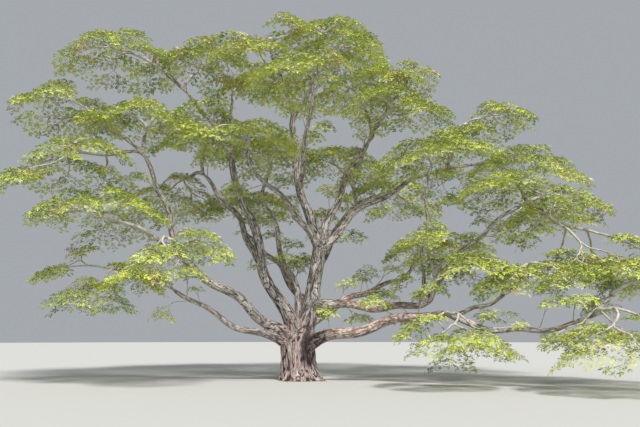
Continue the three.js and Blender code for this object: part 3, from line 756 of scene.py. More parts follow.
def noise(points, seed):
    """Smooth noise from -1 to 1 at points."""
    cells = np.floor(points)
    share = points - cells
    share = share * share * (3 - 2 * share)
    total = np.zeros(len(points))
    for corner in range(8):
        step = np.array((corner & 1, corner >> 1 & 1, corner >> 2 & 1))
        weight = np.prod(np.where(step, share, 1 - share), axis=1)
        total += weight * lattice_values(cells + step, seed)
    return total


# The bark's furrows on the bole and on the boughs: how far apart they lie, how long their meshes are, how
# deep they go and their noise's seed. The boughs' hold from a radius of THIN_LIMB down, the bole's from
# THICK_LIMB up.
Furrow = namedtuple("Furrow", "width length depth seed")
BOLE_FURROWS = Furrow(0.076, 0.6, 0.06, 23)
BOUGH_FURROWS = Furrow(0.05, 0.24, 0.013, 11)
THICK_LIMB = 0.42
THIN_LIMB = 0.2
# The thinnest limbs' furrows are this share of a bough's in depth.
LEAST_DEPTH = 0.25
# How much of the relief the finer furrows make, and the level of the bare surface between furrow and ridge.
FINE_SHARE = 0.28
SURFACE_LEVEL = 0.62
# The noise that furrows follow is warped by WARP_REACH at WARP_SCALE. The finer furrows' is this much finer
# along each axis. A gain widens the ridges and narrows the furrows.
WARP_SCALE = 0.45
WARP_REACH = 0.6
FINER = (2.1, 2.1, 1.7)
FINER_SEED = 7
FURROW_GAIN = 2.7
FINE_GAIN = 2.2


def bark_relief(grain, radii):
    """The bark's height from 0 in a furrow to 1 on a ridge, and the depth of a furrow there."""
    heights = []
    for furrow in (BOUGH_FURROWS, BOLE_FURROWS):
        seed = furrow.seed
        scaled = grain / (furrow.width, furrow.width, furrow.length)
        warp = np.stack([noise(scaled * WARP_SCALE, seed + axis) for axis in (1, 2, 3)], axis=1)
        lines = np.abs(noise(scaled + WARP_REACH * warp, seed)) * FURROW_GAIN
        finer = np.abs(noise(scaled * FINER + warp, seed + FINER_SEED)) * FINE_GAIN
        heights.append(mix(np.minimum(lines, 1), np.minimum(finer, 1), FINE_SHARE))
    bulk = smoothstep(THIN_LIMB, THICK_LIMB, radii)
    thin = np.clip(radii / THIN_LIMB, LEAST_DEPTH, 1)
    return mix(*heights, bulk), mix(BOUGH_FURROWS.depth * thin, BOLE_FURROWS.depth, bulk)


def tube_mesh(target, limb, sides, rings, shares, outline):
    """Adds a closed tube along a limb between two shares. outline(shares, turns) gives its radius."""
    tube = bmesh.new()
    bmesh.ops.create_cone(tube, cap_ends=True, segments=sides, radius1=1, radius2=1, depth=1)
    upright = [edge for edge in tube.edges if abs(edge.verts[0].co.z - edge.verts[1].co.z) > 0.5]
    bmesh.ops.subdivide_edges(tube, edges=upright, cuts=rings - 1, use_grid_fill=True)
    spots = np.array([vert.co for vert in tube.verts])
    along = mix(shares[0], shares[1], np.clip(spots[:, 2] + 0.5, 0, 1))
    levels, order = np.unique(along.round(7), return_inverse=True)
    middles, _, sides_at, lifts_at = limb.frames(levels)
    turns = np.arctan2(spots[:, 1], spots[:, 0])
    reach = outline(along, turns) * np.hypot(spots[:, 0], spots[:, 1])
    placed = middles[order] + (reach * np.cos(turns))[:, None] * sides_at[order]
    placed += (reach * np.sin(turns))[:, None] * lifts_at[order]
    for vert, spot in zip(tube.verts, placed):
        vert.co = spot
    scratch = bpy.data.meshes.new("scratch")
    tube.to_mesh(scratch)
    tube.free()
    target.from_mesh(scratch)
    bpy.data.meshes.remove(scratch)


# The square of the share of its radius that a limb's very tip keeps.
TIP_LEAST = 0.02


def rounded(radius, span):
    """A radius that closes in a round end at the limb's tip."""
    def outline(shares, turns):
        plain = radius(shares)
        left = np.clip((1 - shares) * span / np.maximum(plain, 1e-6), 0, 1)
        return plain * np.sqrt(np.clip(1 - (1 - left) ** 2, TIP_LEAST, 1))
    return outline


def toes_at(turns, heights):
    bearings = np.degrees(turns)
    total = np.zeros_like(bearings)
    for toe in TOES:
        away = (bearings - toe.bearing + 180) % 360 - 180
        total += toe.stand * np.exp(-((away / toe.half) ** 2) - np.maximum(heights, 0) / TOE_FADE)
    return total


# Flutes down the bole, which fade out between two heights: their number, depth and turn with height.
Flute = namedtuple("Flute", "count depth twist")
FLUTES = (Flute(7, 0.022, 0.5), Flute(11, 0.014, -0.8))
FLUTE_FADE = (0.96, 2.4)
# Marks on the trunk: bearing and height of the middle, half width in degrees, half height and strength. A
# burl stands out by its strength in metres. The knot's bark is wrinkled as at a joint, and the stain is a
# column of plum-coloured ridges.
Mark = namedtuple("Mark", "bearing height half tall strength")
BURLS = (
    Mark(340, 2.95, 46, 0.3, 0.07),
    Mark(200, 1.45, 40, 0.3, 0.06),
    Mark(300, 2.2, 30, 0.25, 0.04),
    Mark(268, 3.9, 40, 0.2, 0.03),
)
KNOTS = (Mark(300, 2.85, 38, 0.3, 1),)
STAINS = (Mark(297, 1.75, 17, 0.42, 1), Mark(293, 1.05, 15, 0.5, 1))
# Bark within this many times the trunk's radius, and this much more, belongs to the trunk.
TRUNK_REACH = 1.35
TRUNK_MARGIN = 0.05


def mark_strength(bearings, heights, marks, sharpness):
    """How strongly marks show, the more squarely the higher the sharpness, a whole even number."""
    total = np.zeros(len(heights))
    for mark in marks:
        away = ((bearings - mark.bearing + 180) % 360 - 180) / mark.half
        above = (heights - mark.height) / mark.tall
        total += mark.strength * np.exp(-(away**sharpness) - above**sharpness)
    return total


def trunk_outline(shares, turns):
    heights = shares * TRUNK_TOP
    radius = trunk_radius(shares) + toes_at(turns, heights)
    fade = 1 - smoothstep(*FLUTE_FADE, heights)
    for flute in FLUTES:
        radius += flute.depth * fade * np.cos(flute.count * turns + flute.twist * heights)
    return radius + mark_strength(np.degrees(turns), heights, BURLS, 2)


def marks_at(points, marks):
    """How strongly the trunk's marks show at points, from 0 to 1."""
    heights = points[:, 2]
    levels, leans, radii = np.array(TRUNK).T
    east = points[:, 0] - np.interp(heights, levels, leans)
    bearings = np.degrees(np.arctan2(points[:, 1], east))
    on_trunk = np.hypot(east, points[:, 1]) < TRUNK_REACH * np.interp(heights, levels, radii) + TRUNK_MARGIN
    return np.minimum(mark_strength(bearings, heights, marks, 4), 1) * on_trunk


# How much and how often the whole surface is smoothed before it gets its relief.
SMOOTH_SHARE = 0.5
SMOOTH_ROUNDS = 3
# Where two limbs join, the bark is smoothed this often by this much, and is covered in wrinkles, furrows
# this much shorter along each axis. This fades as one limb comes nearer than the other by JOINT_FADE.
JOINT_ROUNDS = 24
JOINT_PULL = 0.6
WRINKLES = (1.0, 1.0, 5.0)
JOINT_FADE = 0.07
# A warm bough's colour comes in between these distances from its parent's bark.
WARM_START = (0.25, 1.3)
# Limbs are sampled every GRAIN_STEP, and points up to GRAIN_REACH from one are measured, in chunks.
GRAIN_STEP = 0.06
GRAIN_REACH = 0.6
GRAIN_CHUNK = 20000


class Skin:
    """One piece of bark over some limbs: tubes made into one surface, then given its relief."""

    def __init__(self, name, limbs, voxel):
        self.name = name
        self.limbs = limbs
        self.voxel = voxel
        self.shell = bmesh.new()

    def add(self, limb, sides, step, shares, outline):
        rings = max(4, int(limb.span * (shares[1] - shares[0]) / step))
        tube_mesh(self.shell, limb, sides, rings, shares, outline)

    def finish(self):
        """The finished mesh, with the numbers that its bark's colours read."""
        rough = bpy.data.meshes.new(self.name)
        self.shell.to_mesh(rough)
        self.shell.free()
        holder = bpy.data.objects.new(self.name + "_rough", rough)
        bpy.context.scene.collection.objects.link(holder)
        remesh = holder.modifiers.new("Surface", "REMESH")
        remesh.mode = "VOXEL"
        remesh.voxel_size = self.voxel
        smooth = holder.modifiers.new("Smooth", "SMOOTH")
        smooth.factor = SMOOTH_SHARE
        smooth.iterations = SMOOTH_ROUNDS
        ready = holder.evaluated_get(bpy.context.evaluated_depsgraph_get())
        mesh = bpy.data.meshes.new_from_object(ready)
        bpy.data.objects.remove(holder)
        bpy.data.meshes.remove(rough)
        self.relieve(mesh)
        return mesh

    def nearest(self, points):
        """Each point's place in its limb's grain, the limb's radius and warmth, and how near a joint is."""
        best = np.full(len(points), np.inf)
        second = np.full(len(points), np.inf)
        grain = np.zeros((len(points), 3))
        radii = np.zeros(len(points))
        warmth = np.zeros(len(points))
        for limb in self.limbs:
            shares = np.linspace(0, 1, int(limb.span / GRAIN_STEP) + 2)
            middles, headings, sides, lifts = limb.frames(shares)
            around = limb.radius(shares)
            runs = np.concatenate(((0,), np.cumsum(np.linalg.norm(np.diff(middles, axis=0), axis=1))))
            reach = around.max() + GRAIN_REACH
            low, high = middles.min(axis=0) - reach, middles.max(axis=0) + reach
            close = np.flatnonzero(((points > low) & (points < high)).all(axis=1))
            for chunk in np.array_split(close, max(1, len(close) // GRAIN_CHUNK)):
                spots = points[chunk]
                squares = (spots**2).sum(1)[:, None] + (middles**2).sum(1)[None] - 2 * spots @ middles.T
                index = squares.argmin(axis=1)
                gap = np.sqrt(np.maximum(squares[np.arange(len(chunk)), index], 0)) - around[index]
                away = spots - middles[index]
                local = np.column_stack([(away * axes[index]).sum(1) for axes in (sides, lifts, headings)])
                local[:, 2] += runs[index]
                better = gap < best[chunk]
                second[chunk] = np.where(better, best[chunk], np.minimum(second[chunk], gap))
                chosen = chunk[better]
                best[chosen] = gap[better]
                grain[chosen] = local[better]
                radii[chosen] = around[index][better]
                warmth[chosen] = limb.warm * smoothstep(*WARM_START, runs[index][better] - limb.start)
        return grain, radii, warmth, np.exp(-((second - best) / JOINT_FADE) ** 2)

    def relieve(self, mesh):
        """Rounds the surface at the joints, carves the furrows and stores the bark's numbers."""
        points = values_of(mesh.vertices, "co", 3).astype(float)
        _, _, _, joint = self.nearest(points)
        one, other = values_of(mesh.edges, "vertices", 2, np.int32).T
        starts, ends = np.concatenate((one, other)), np.concatenate((other, one))
        neighbours = np.maximum(np.bincount(starts, minlength=len(points)), 1)[:, None]
        for _ in range(JOINT_ROUNDS):
            total = np.stack([np.bincount(starts, axis[ends], len(points)) for axis in points.T], axis=1)
            points += JOINT_PULL * joint[:, None] * (total / neighbours - points)
        set_values(mesh.vertices, "co", points)
        mesh.update()
        normals = values_of(mesh.vertex_normals, "vector", 3)
        grain, radii, warmth, joint = self.nearest(points)
        height, depth = bark_relief(grain, radii)
        wrinkles, _ = bark_relief(points * WRINKLES, radii)
        height = mix(height, wrinkles, np.maximum(joint, marks_at(points, KNOTS)))
        points += normals * (depth * (height - SURFACE_LEVEL))[:, None]
        set_values(mesh.vertices, "co", points)
        numbers = {"relief": height, "girth": radii, "warmth": warmth, "stain": marks_at(points, STAINS)}
        for name, values in numbers.items():
            set_values(mesh.attributes.new(name, "FLOAT", "POINT").data, "value", values)
        set_values(mesh.attributes.new("grain", "FLOAT_VECTOR", "POINT").data, "vector", grain)
        mesh.update()


def cut_flat(mesh):
    """Cuts a mesh off level at the ground and closes the cut."""
    shell = bmesh.new()
    shell.from_mesh(mesh)
    everything = shell.verts[:] + shell.edges[:] + shell.faces[:]
    bmesh.ops.bisect_plane(shell, geom=everything, plane_co=(0, 0, 0), plane_no=(0, 0, 1), clear_inner=True)
    rim = [edge for edge in shell.edges if edge.is_boundary]
    bmesh.ops.holes_fill(shell, edges=rim)
    shell.to_mesh(mesh)
    shell.free()


class Wire:
    """A shader socket that Python's arithmetic works on."""

    def __init__(self, paint, socket):
        self.paint = paint
        self.socket = socket

    def __add__(self, other):
        return self.paint.maths("ADD", self, other)

    def __sub__(self, other):
        return self.paint.maths("SUBTRACT", self, other)

    def __rsub__(self, other):
        return self.paint.maths("SUBTRACT", other, self)

    def __mul__(self, other):
        return self.paint.maths("MULTIPLY", self, other)

    __radd__ = __add__
    __rmul__ = __mul__


class Paint:
    """A material and the nodes in it."""

    def __init__(self, name):
        self.material = bpy.data.materials.new(name)
        self.material.use_nodes = True
        self.tree = self.material.node_tree
        self.shader = self.tree.nodes["Principled BSDF"]

    def node(self, kind, settings=None, inputs=None, output=0):
        """A new node's output. Its settings are set first, then its sockets are given values or links."""
        made = self.tree.nodes.new(kind)
        for name, value in (settings or {}).items():
            setattr(made, name, value)
        for key, value in (inputs or {}).items():
            self.feed(made.inputs[key], value)
        return Wire(self, made.outputs[output])

    def feed(self, socket, value):
        """Links a wire to a socket, or gives it a value. A colour needs no fourth number."""
        if isinstance(value, Wire):
            self.tree.links.new(value.socket, socket)
        else:
            socket.default_value = (*value, 1) if socket.type == "RGBA" else value

    def maths(self, operation, *values):
        return self.node("ShaderNodeMath", {"operation": operation}, dict(enumerate(values)))

    def blend(self, share, first, second, kind="MIX"):
        """A mix of two colours."""
        settings = {"data_type": "RGBA", "blend_type": kind}
        return self.node("ShaderNodeMix", settings, {0: share, 6: first, 7: second}, 2)

    def ramp(self, value, edges):
        """0 below the first edge, 1 above the second and a smooth rise between them."""
        settings = {"interpolation_type": "SMOOTHSTEP"}
        return self.node("ShaderNodeMapRange", settings, {0: value, 1: edges[0], 2: edges[1]})

    def clouds(self, vector, scale, detail=4, roughness=0.55, output=0):
        inputs = {"Vector": vector, "Scale": scale, "Detail": detail, "Roughness": roughness}
        return self.node("ShaderNodeTexNoise", {}, inputs, output)

    def held(self, name, output="Fac"):
        """A number, or with output "Vector" a vector, that the piece's mesh holds at each point."""
        return self.node("ShaderNodeAttribute", {"attribute_name": name}, {}, output)

    def spot(self):
        """The place on the piece, which is also the place on the tree."""
        return self.node("ShaderNodeTexCoord", output="Object")

    def vectors(self, operation, inputs, output=0):
        return self.node("ShaderNodeVectorMath", {"operation": operation}, inputs, output)

    def stretched(self, vector, scale):
        return self.vectors("MULTIPLY", {0: vector, 1: scale})

    def warped(self, vector, scale, amount):
        """A vector moved about by noise."""
        drift = self.clouds(vector, scale, detail=3, roughness=0.5, output="Color")
        drift = self.vectors("SCALE", {0: drift, "Scale": amount})
        return self.vectors("ADD", {0: vector, 1: drift})

    def finish(self, color, roughness, normal=None):
        """The material, with what the shader's sockets get."""
        sockets = {"Base Color": color, "Roughness": roughness, "Normal": normal}
        for name, value in sockets.items():
            if value is not None:
                self.feed(self.shader.inputs[name], value)
        return self.material


# The bole's pinkish cork turns to the boughs' grey between these distances from the foot of the trunk, and
# the warm mottling of the low boughs fades between the second ones. Their edges wander by this much.
CORK_REACH = (1.7, 3.1)
WARM_REACH = (4.5, 7.5)
CORK_WANDER = 1.6
WARM_WANDER = 2
# The bark's patterns along its grain, as how often they repeat in a metre across it and along it. The
# flakes are warped by this much, at this scale.
FIBRE_GRAIN = (40, 40, 5)
BLOTCH_GRAIN = (5, 5, 2.2)
FLAKE_GRAIN = (15, 15, 12)
ALGAE_SCALE = 2.1
FLAKE_WARP = 1.5
FLAKE_WARP_SCALE = 1.6
# Where each blend starts and ends: by the limb's radius, by the relief and by the patterns. Lichen starts
# on slender limbs at a pattern lower by up to SLENDER_LICHEN.
GIRTH_EDGES = (0.07, 0.24)
RIDGE_EDGES = (0.28, 0.92)
CORK_LICHEN_EDGES = (0.46, 0.64)
LICHEN_EDGES = (0.42, 0.64)
SLENDER_LICHEN = 0.2
ALGAE_EDGES = (0.55, 0.68)
FLAKE_EDGES = (0.18, 0.46)
GRIME_EDGES = (0.38, 0.6)
# How much of each blend shows. The furrows' painted shade is paler on grey bark and on slender limbs.
CORK_LICHEN = 0.7
STAIN = 0.9
ALGAE = 0.5
FLAKED_CRUST = 0.8
FLAKED_FURROW = 0.6
GREY_FURROW = 0.1
SLENDER_FURROW = 0.5
GRIME = 0.9
# What the clean bark is multiplied by, how deep its fibres are, and how rough the bark and its fibres are.
CLEAN = (1.12, 1.1, 1.1)
FIBRE_DEPTH = 0.02
BARK_ROUGHNESS = 0.82
FIBRE_ROUGHNESS = 0.14


def bark_material(name, look):
    """Corky bark: furrows darkened with painted shade over their darker bark, pale ridges, flakes, lichen,
    algae and stains. Slender limbs are smoother.
    """
    paint = Paint(name)
    spot = paint.spot()
    grain = paint.held("grain", "Vector")
    fibres = paint.clouds(paint.stretched(grain, FIBRE_GRAIN), 1.0, detail=6, roughness=0.68)
    blotches = paint.clouds(paint.stretched(grain, BLOTCH_GRAIN), 1.0, detail=5, roughness=0.6)
    patches = paint.clouds(spot, ALGAE_SCALE, detail=5, roughness=0.6)
    flaked = paint.warped(paint.stretched(grain, FLAKE_GRAIN), FLAKE_WARP_SCALE, FLAKE_WARP)
    flakes = paint.node("ShaderNodeTexVoronoi", {"feature": "F1"}, {"Vector": flaked, "Scale": 1.0}, "Color")
    slender = 1 - paint.ramp(paint.held("girth"), GIRTH_EDGES)
    away = paint.vectors("LENGTH", {0: spot}, "Value")
    drift = blotches - 0.5
    grey = paint.ramp(away + CORK_WANDER * drift, CORK_REACH)
    warmth = paint.held("warmth") * (1 - paint.ramp(away + WARM_WANDER * drift, WARM_REACH))
    lichen = paint.ramp(blotches, CORK_LICHEN_EDGES) * CORK_LICHEN
    cork = paint.blend(lichen, look.ridge_color, look.lichen_color)
    cork = paint.blend(paint.held("stain") * STAIN, cork, look.stain_color)
    lichen = paint.ramp(blotches + SLENDER_LICHEN * slender, LICHEN_EDGES)
    plain = paint.blend(lichen, look.bough_color, look.lichen_color)
    plain = paint.blend(paint.ramp(patches, ALGAE_EDGES) * ALGAE, plain, look.moss_color)
    flecked = paint.blend(paint.ramp(flakes, FLAKE_EDGES), look.warm_color, look.cream_color)
    crust = paint.blend(warmth * FLAKED_CRUST, paint.blend(grey, cork, plain), flecked)
    # The furrows get painted shade over their darker bark. It is paler on grey and slender limbs and warm on
    # the warm boughs, and the relief sets where it shows.
    smooth = grey * GREY_FURROW + slender * SLENDER_FURROW
    furrow = paint.blend(smooth, look.furrow_bark_and_shade_color, look.bough_color)
    furrow = paint.blend(warmth * FLAKED_FURROW, furrow, look.warm_color)
    ridged = paint.blend(paint.ramp(paint.held("relief"), RIDGE_EDGES), furrow, crust)
    grime = paint.blend(paint.ramp(fibres, GRIME_EDGES), look.grime_color, CLEAN)
    color = paint.blend(GRIME, ridged, grime, "MULTIPLY")
    bump = paint.node("ShaderNodeBump", {}, {"Strength": 1.0, "Distance": FIBRE_DEPTH, "Height": fibres})
    return paint.finish(color, BARK_ROUGHNESS + FIBRE_ROUGHNESS * fibres, bump)


# The mottling of twigs, the satin of leaves and the faint grain of the floor.
MOTTLE_SCALE = 9.0
MOTTLE_EDGES = (0.36, 0.64)
TWIG_ROUGHNESS = 0.8
LEAF_ROUGHNESS = 0.55
LEAF_SHINE = 0.3
FLOOR_GRAIN = 3.0
FLOOR_SHADE = 0.97
FLOOR_ROUGHNESS = 0.9


def twig_material(name, color, dark):
    """Smooth young bark, a little mottled."""
    paint = Paint(name)
    mottle = paint.ramp(paint.clouds(paint.spot(), MOTTLE_SCALE, roughness=0.6), MOTTLE_EDGES)
    return paint.finish(paint.blend(mottle, dark, color), TWIG_ROUGHNESS)


def leaf_material(name, color):
    """A young leaf, satin, in one plain colour."""
    paint = Paint(name)
    paint.shader.inputs["Specular IOR Level"].default_value = LEAF_SHINE
    return paint.finish(color, LEAF_ROUGHNESS)


def ground_material(look):
    """The stage's plain pale floor, with the faintest grain."""
    paint = Paint("floor")
    shade = [value * FLOOR_SHADE for value in look.floor_color]
    grain = paint.clouds(paint.spot(), FLOOR_GRAIN)
    return paint.finish(paint.blend(grain, shade, look.floor_color), FLOOR_ROUGHNESS)


def color_property(name, description, default):
    return bpy.props.FloatVectorProperty(
        name=name, description=description, default=default, subtype="COLOR", size=3, min=0, max=1)


def length_property(name, description, default):
    return bpy.props.FloatProperty(
        name=name, description=description, default=default, unit="LENGTH", min=0.001)


def strength_property(name, description, default):
    return bpy.props.FloatProperty(name=name, description=description, default=default, min=0)


class TreeForm(bpy.types.PropertyGroup):
    """How finely the tree is made."""

    bole_grid: length_property("Bole grid", "Size of the finest step in the bole's surface", 0.021)
    bough_grid: length_property("Bough grid", "Size of the finest step in the boughs' surface", 0.03)
    leaf_length: length_property("Leaf length", "Length of a leaf with its leaflets", 0.165)
    tuft_spacing: length_property("Tuft spacing", "How far apart the tufts of leaves stand", 0.205)


class BarkLook(bpy.types.PropertyGroup):
    """The bark's colours."""

    ridge_color: color_property("Ridges", "Corky ridges on the bole", (0.41, 0.32, 0.31))
    # The furrows' colour is painted shade over their darker bark.
    furrow_bark_and_shade_color: color_property("Furrows", "Deep in the furrows", (0.035, 0.021, 0.021))
    stain_color: color_property("Stain", "Plum-coloured ridges on the bole", (0.045, 0.024, 0.026))
    bough_color: color_property("Boughs", "Grey bark of the boughs", (0.38, 0.365, 0.33))
    lichen_color: color_property("Lichen", "Pale crust on the ridges", (0.66, 0.61, 0.57))
    moss_color: color_property("Algae", "Green-grey film", (0.2, 0.2, 0.14))
    warm_color: color_property("Flakes", "Pinkish flakes on the low boughs", (0.39, 0.245, 0.21))
    cream_color: color_property("Cream", "Pale bark between the flakes", (0.78, 0.65, 0.58))
    grime_color: color_property("Grime", "Tint in the finest cracks", (0.34, 0.31, 0.31))
    branch_color: color_property("Branches", "Bark of the thicker twigs", (0.55, 0.51, 0.455))
    twig_color: color_property("Twigs", "Pale young bark", (0.64, 0.6, 0.52))
    twig_shade: color_property("Twig mottling", "Darker young bark", (0.42, 0.39, 0.32))


class LeafLook(bpy.types.PropertyGroup):
    """The tints that are dealt out to the sprays."""

    # Bright holds painted light and deep holds painted shade on the leaves' colour. Fresh, pale and bronze
    # are the leaves' own colours.
    bright: color_property("Bright", "Yellow-green in full light", (0.53, 0.585, 0.11))
    fresh: color_property("Fresh", "Mid green", (0.44, 0.51, 0.09))
    pale: color_property("Pale", "Just opened", (0.58, 0.61, 0.2))
    deep: color_property("Deep", "Older and shaded", (0.26, 0.335, 0.064))
    bronze: color_property("Bronze", "Still flushed with red", (0.47, 0.39, 0.13))


class StageLook(bpy.types.PropertyGroup):
    """Floor, light and camera."""

    floor_color: color_property("Floor", "Plain pale floor", (0.52, 0.52, 0.51))
    sky_color: color_property("Fill light", "Light from all round", (0.9, 0.95, 1.0))
    sky_strength: strength_property("Fill", "Strength of the fill light", 0.42)
    sun_color: color_property("Key light", "Light from above at the front right", (1.0, 0.975, 0.93))
    sun_strength: strength_property("Key", "Strength of the key light", 4.6)
    camera_distance: length_property("Distance", "Camera's distance from the trunk", 23.81)
    camera_height: length_property("Height", "Camera's height", 1.6)


TINT_NAMES = ("bright", "fresh", "pale", "deep", "bronze")
# The camera stands this far to the right of the trunk and looks up by this much.
CAMERA_RIGHT = 0.741
CAMERA_TILT = 11.14
CAMERA_LENS = 35.0
CAMERA_SENSOR = 36
CAMERA_SIGHT = 500
SUN_DIRECTION = (-0.32, 0.78, -0.92)
SUN_SOFTNESS = 12
FLOOR_SIDES = 96
FLOOR_RADIUS = 150.0
FLOOR_DROP = 0.004
# How many sides and steps the twigs of each level from the stem have. The last serves all finer ones.
TWIG_DETAIL = ((10, 7), (8, 6), (7, 5), (6, 4), (5, 3), (4, 2), (3, 2), (3, 1))
# Twigs up to this level have the darker bark of branches.
BRANCH_LEVELS = 4
# The tubes that the bark is made over: how many sides they have and how long their steps are. The bole's
# starts BOLE_FOOT of its height under the ground.
BOLE_TUBE = (96, 0.05)
COLLAR_TUBE = (32, 0.05)
BOUGH_TUBE = (20, 0.09)
BOLE_FOOT = 0.03
# The bole carries each bough's first COLLAR_LENGTH. From COLLAR_FROM of that on, it sinks under the bough's
# own bark by up to COLLAR_SINK.
COLLAR_LENGTH = 0.55
COLLAR_FROM = 0.4
COLLAR_SINK = 0.03

# The limbs and the crown, kept here once they are grown, because several pieces are made from them.
grown = {}


def limbs_of_tree():
    if "limbs" not in grown:
        grown["limbs"] = grow_limbs()
    return grown["limbs"]


def crown_of_tree():
    if "crown" not in grown:
        crown = Crown(limbs_of_tree(), bpy.context.scene.tree_form.tuft_spacing ** 2)
        crown.grow()
        grown["crown"] = crown
    return grown["crown"]


def masses_of(region):
    return [name for name, mass in MASSES.items() if mass.bough in REGIONS[region]]


def carriers_of(region):
    """Whose twigs and tufts a region has. The trunk's own shoots go with the upper boughs."""
    return (*masses_of(region), *REGIONS[region], *(("trunk",) if region == "upper" else ()))


def stem_limb(crown, name):
    """The stem of a mass, as a limb from inside its bough's tip to its first fork."""
    stem = next(twig for twig in crown.twigs[name] if twig.level == 0)
    chord = unit(stem.end - stem.start)
    side = unit(np.cross(chord, (0.0, 0.0, 1.0)) + np.array((0.001, 0.0, 0.0)))

    def path(shares):
        return curve_points(stem.start[None], stem.bend[None], stem.end[None], shares)[0]

    return Limb(path, side, lambda shares: mix(stem.first, stem.last, np.asarray(shares, float)))


def finish_piece(name, mesh, materials, nodes, smooth=False):
    """Makes the object for a mesh, attaches it to the root body and hides the model's parts that it stands
    for.
    """
    for material in materials:
        mesh.materials.append(material)
    if smooth:
        mesh.polygons.foreach_set("use_smooth", np.ones(len(mesh.polygons), bool))
    piece = bpy.data.objects.new(name, mesh)
    bpy.context.scene.collection.objects.link(piece)
    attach(piece, "root")
    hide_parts(*nodes)
    return piece


class TREE_OT_bole(bpy.types.Operator):
    """Builds the bole, from its root toes to the collars of its boughs"""

    bl_idname = "tree.bole"
    bl_label = "Bole"

    def execute(self, context):
        limbs = limbs_of_tree()
        trunk = limbs["trunk"]
        carried = [limbs[name] for name, bough in BOUGHS.items() if bough.parent == "trunk"]
        skin = Skin("bole", [trunk, *carried], context.scene.tree_form.bole_grid)
        skin.add(trunk, *BOLE_TUBE, (-BOLE_FOOT, 1), trunk_outline)
        for limb in carried:
            end = min(1, (limb.start + COLLAR_LENGTH) / limb.span)

            def outline(shares, turns, limb=limb, end=end):
                return limb.radius(shares) - COLLAR_SINK * smoothstep(COLLAR_FROM * end, end, shares)

            skin.add(limb, *COLLAR_TUBE, (0, end), outline)
        mesh = skin.finish()
        cut_flat(mesh)
        material = bark_material("bole_bark", context.scene.tree_bark)
        finish_piece("bole", mesh, [material], ["trunk"], smooth=True)
        return {"FINISHED"}


class TREE_OT_boughs(bpy.types.Operator):
    """Builds the boughs of every region, with the stems of their masses"""

    bl_idname = "tree.boughs"
    bl_label = "Boughs"

    def execute(self, context):
        limbs = limbs_of_tree()
        crown = crown_of_tree()
        material = bark_material("bough_bark", context.scene.tree_bark)
        for region, names in REGIONS.items():
            stems = [stem_limb(crown, name) for name in masses_of(region)]
            shown = [limbs[name] for name in names] + stems
            skin = Skin(f"boughs_{region}", shown, context.scene.tree_form.bough_grid)
            for limb in shown:
                skin.add(limb, *BOUGH_TUBE, (0, 1), rounded(limb.radius, limb.span))
            finish_piece(skin.name, skin.finish(), [material], names, smooth=True)
        return {"FINISHED"}


class TREE_OT_twigs(bpy.types.Operator):
    """Builds the twigs of every region"""

    bl_idname = "tree.twigs"
    bl_label = "Twigs"

    def execute(self, context):
        crown = crown_of_tree()
        look = context.scene.tree_bark
        thick = twig_material("branch_bark", look.branch_color, look.bough_color)
        thin = twig_material("twig_bark", look.twig_color, look.twig_shade)
        for region in REGIONS:
            masses = masses_of(region)
            twigs = [twig for name in carriers_of(region) for twig in crown.twigs[name] if twig.level > 0]
            blocks = []
            for level in sorted({twig.level for twig in twigs}):
                sides, steps = TWIG_DETAIL[min(level, len(TWIG_DETAIL) - 1)]
                for pointed in (False, True):
                    alike = [twig for twig in twigs if twig.level == level and (twig.last == 0) == pointed]
                    if alike:
                        corners, faces = twig_tubes(alike, sides, steps)
                        blocks.append((corners, faces, int(level > BRANCH_LEVELS)))
            mesh = mesh_from_blocks(f"twigs_{region}", blocks)
            finish_piece(f"twigs_{region}", mesh, [thick, thin], masses, smooth=True)
        return {"FINISHED"}


class TREE_OT_leaves(bpy.types.Operator):
    """Builds the leaves of every region, in tufts at the ends of the twigs"""

    bl_idname = "tree.leaves"
    bl_label = "Leaves"

    def execute(self, context):
        crown = crown_of_tree()
        look = context.scene.tree_leaf
        materials = [leaf_material(f"leaf_{name}", getattr(look, name)) for name in TINT_NAMES]
        for number, region in enumerate(REGIONS):
            masses = masses_of(region)
            tufts = [tuft for name in carriers_of(region) for tuft in crown.tufts[name]]
            blocks = leaf_blocks(tufts, context.scene.tree_form.leaf_length, number)
            mesh = mesh_from_blocks(f"leaves_{region}", blocks)
            finish_piece(f"leaves_{region}", mesh, materials, masses)
        return {"FINISHED"}


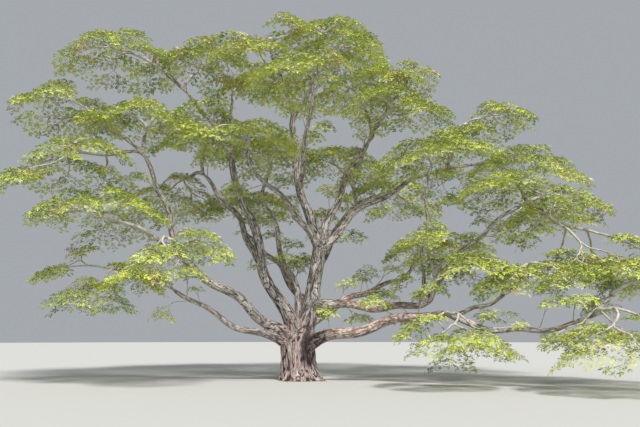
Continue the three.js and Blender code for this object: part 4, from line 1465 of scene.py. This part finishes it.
class TREE_OT_stage(bpy.types.Operator):
    """Sets the floor, the lights and the camera"""

    bl_idname = "tree.stage"
    bl_label = "Stage"

    def execute(self, context):
        scene = context.scene
        scene.view_settings.view_transform = "Standard"
        look = scene.tree_stage
        disc = bmesh.new()
        bmesh.ops.create_circle(disc, cap_ends=True, segments=FLOOR_SIDES, radius=FLOOR_RADIUS)
        bmesh.ops.translate(disc, verts=disc.verts, vec=(0, 0, -FLOOR_DROP))
        mesh = bpy.data.meshes.new("floor")
        disc.to_mesh(mesh)
        disc.free()
        mesh.materials.append(ground_material(look))
        floor = bpy.data.objects.new("floor", mesh)
        scene.collection.objects.link(floor)
        world = bpy.data.worlds.new("studio")
        world.use_nodes = True
        background = world.node_tree.nodes["Background"]
        background.inputs["Color"].default_value = (*look.sky_color, 1)
        background.inputs["Strength"].default_value = look.sky_strength
        scene.world = world
        lamp = bpy.data.lights.new("key", "SUN")
        lamp.energy = look.sun_strength
        lamp.angle = math.radians(SUN_SOFTNESS)
        lamp.color = look.sun_color
        key = bpy.data.objects.new("key", lamp)
        key.rotation_euler = Vector(SUN_DIRECTION).to_track_quat("-Z", "Y").to_euler()
        scene.collection.objects.link(key)
        lens = bpy.data.cameras.new("camera")
        lens.lens = CAMERA_LENS
        lens.sensor_width = CAMERA_SENSOR
        lens.clip_end = CAMERA_SIGHT
        camera = bpy.data.objects.new("camera", lens)
        camera.location = (CAMERA_RIGHT, -look.camera_distance, look.camera_height)
        camera.rotation_euler = (math.radians(90 + CAMERA_TILT), 0, 0)
        scene.collection.objects.link(camera)
        scene.camera = camera
        return {"FINISHED"}


class TREE_PT_panel(bpy.types.Panel):
    """Lists the tree's pieces and settings"""

    bl_idname = "TREE_PT_panel"
    bl_label = "Spreading Cork Tree"
    bl_space_type = "VIEW_3D"
    bl_region_type = "UI"
    bl_category = "Tree"

    def draw(self, context):
        for operator in OPERATORS:
            self.layout.operator(operator.bl_idname)
        for name, group in GROUPS.items():
            box = self.layout.box()
            for key in group.__annotations__:
                box.prop(getattr(context.scene, name), key)


GROUPS = {"tree_form": TreeForm, "tree_bark": BarkLook, "tree_leaf": LeafLook, "tree_stage": StageLook}
OPERATORS = (TREE_OT_stage, TREE_OT_bole, TREE_OT_boughs, TREE_OT_twigs, TREE_OT_leaves)


def register():
    for cls in (*GROUPS.values(), *OPERATORS, TREE_PT_panel):
        bpy.utils.register_class(cls)
    for name, group in GROUPS.items():
        setattr(bpy.types.Scene, name, bpy.props.PointerProperty(type=group))


def unregister():
    for name in GROUPS:
        delattr(bpy.types.Scene, name)
    for cls in (TREE_PT_panel, *reversed(OPERATORS), *reversed(GROUPS.values())):
        bpy.utils.unregister_class(cls)


def main():
    register()
    bpy.ops.tree.stage()
    bpy.ops.tree.bole()
    bpy.ops.tree.boughs()
    bpy.ops.tree.twigs()
    bpy.ops.tree.leaves()


if __name__ == "__main__":
    main()
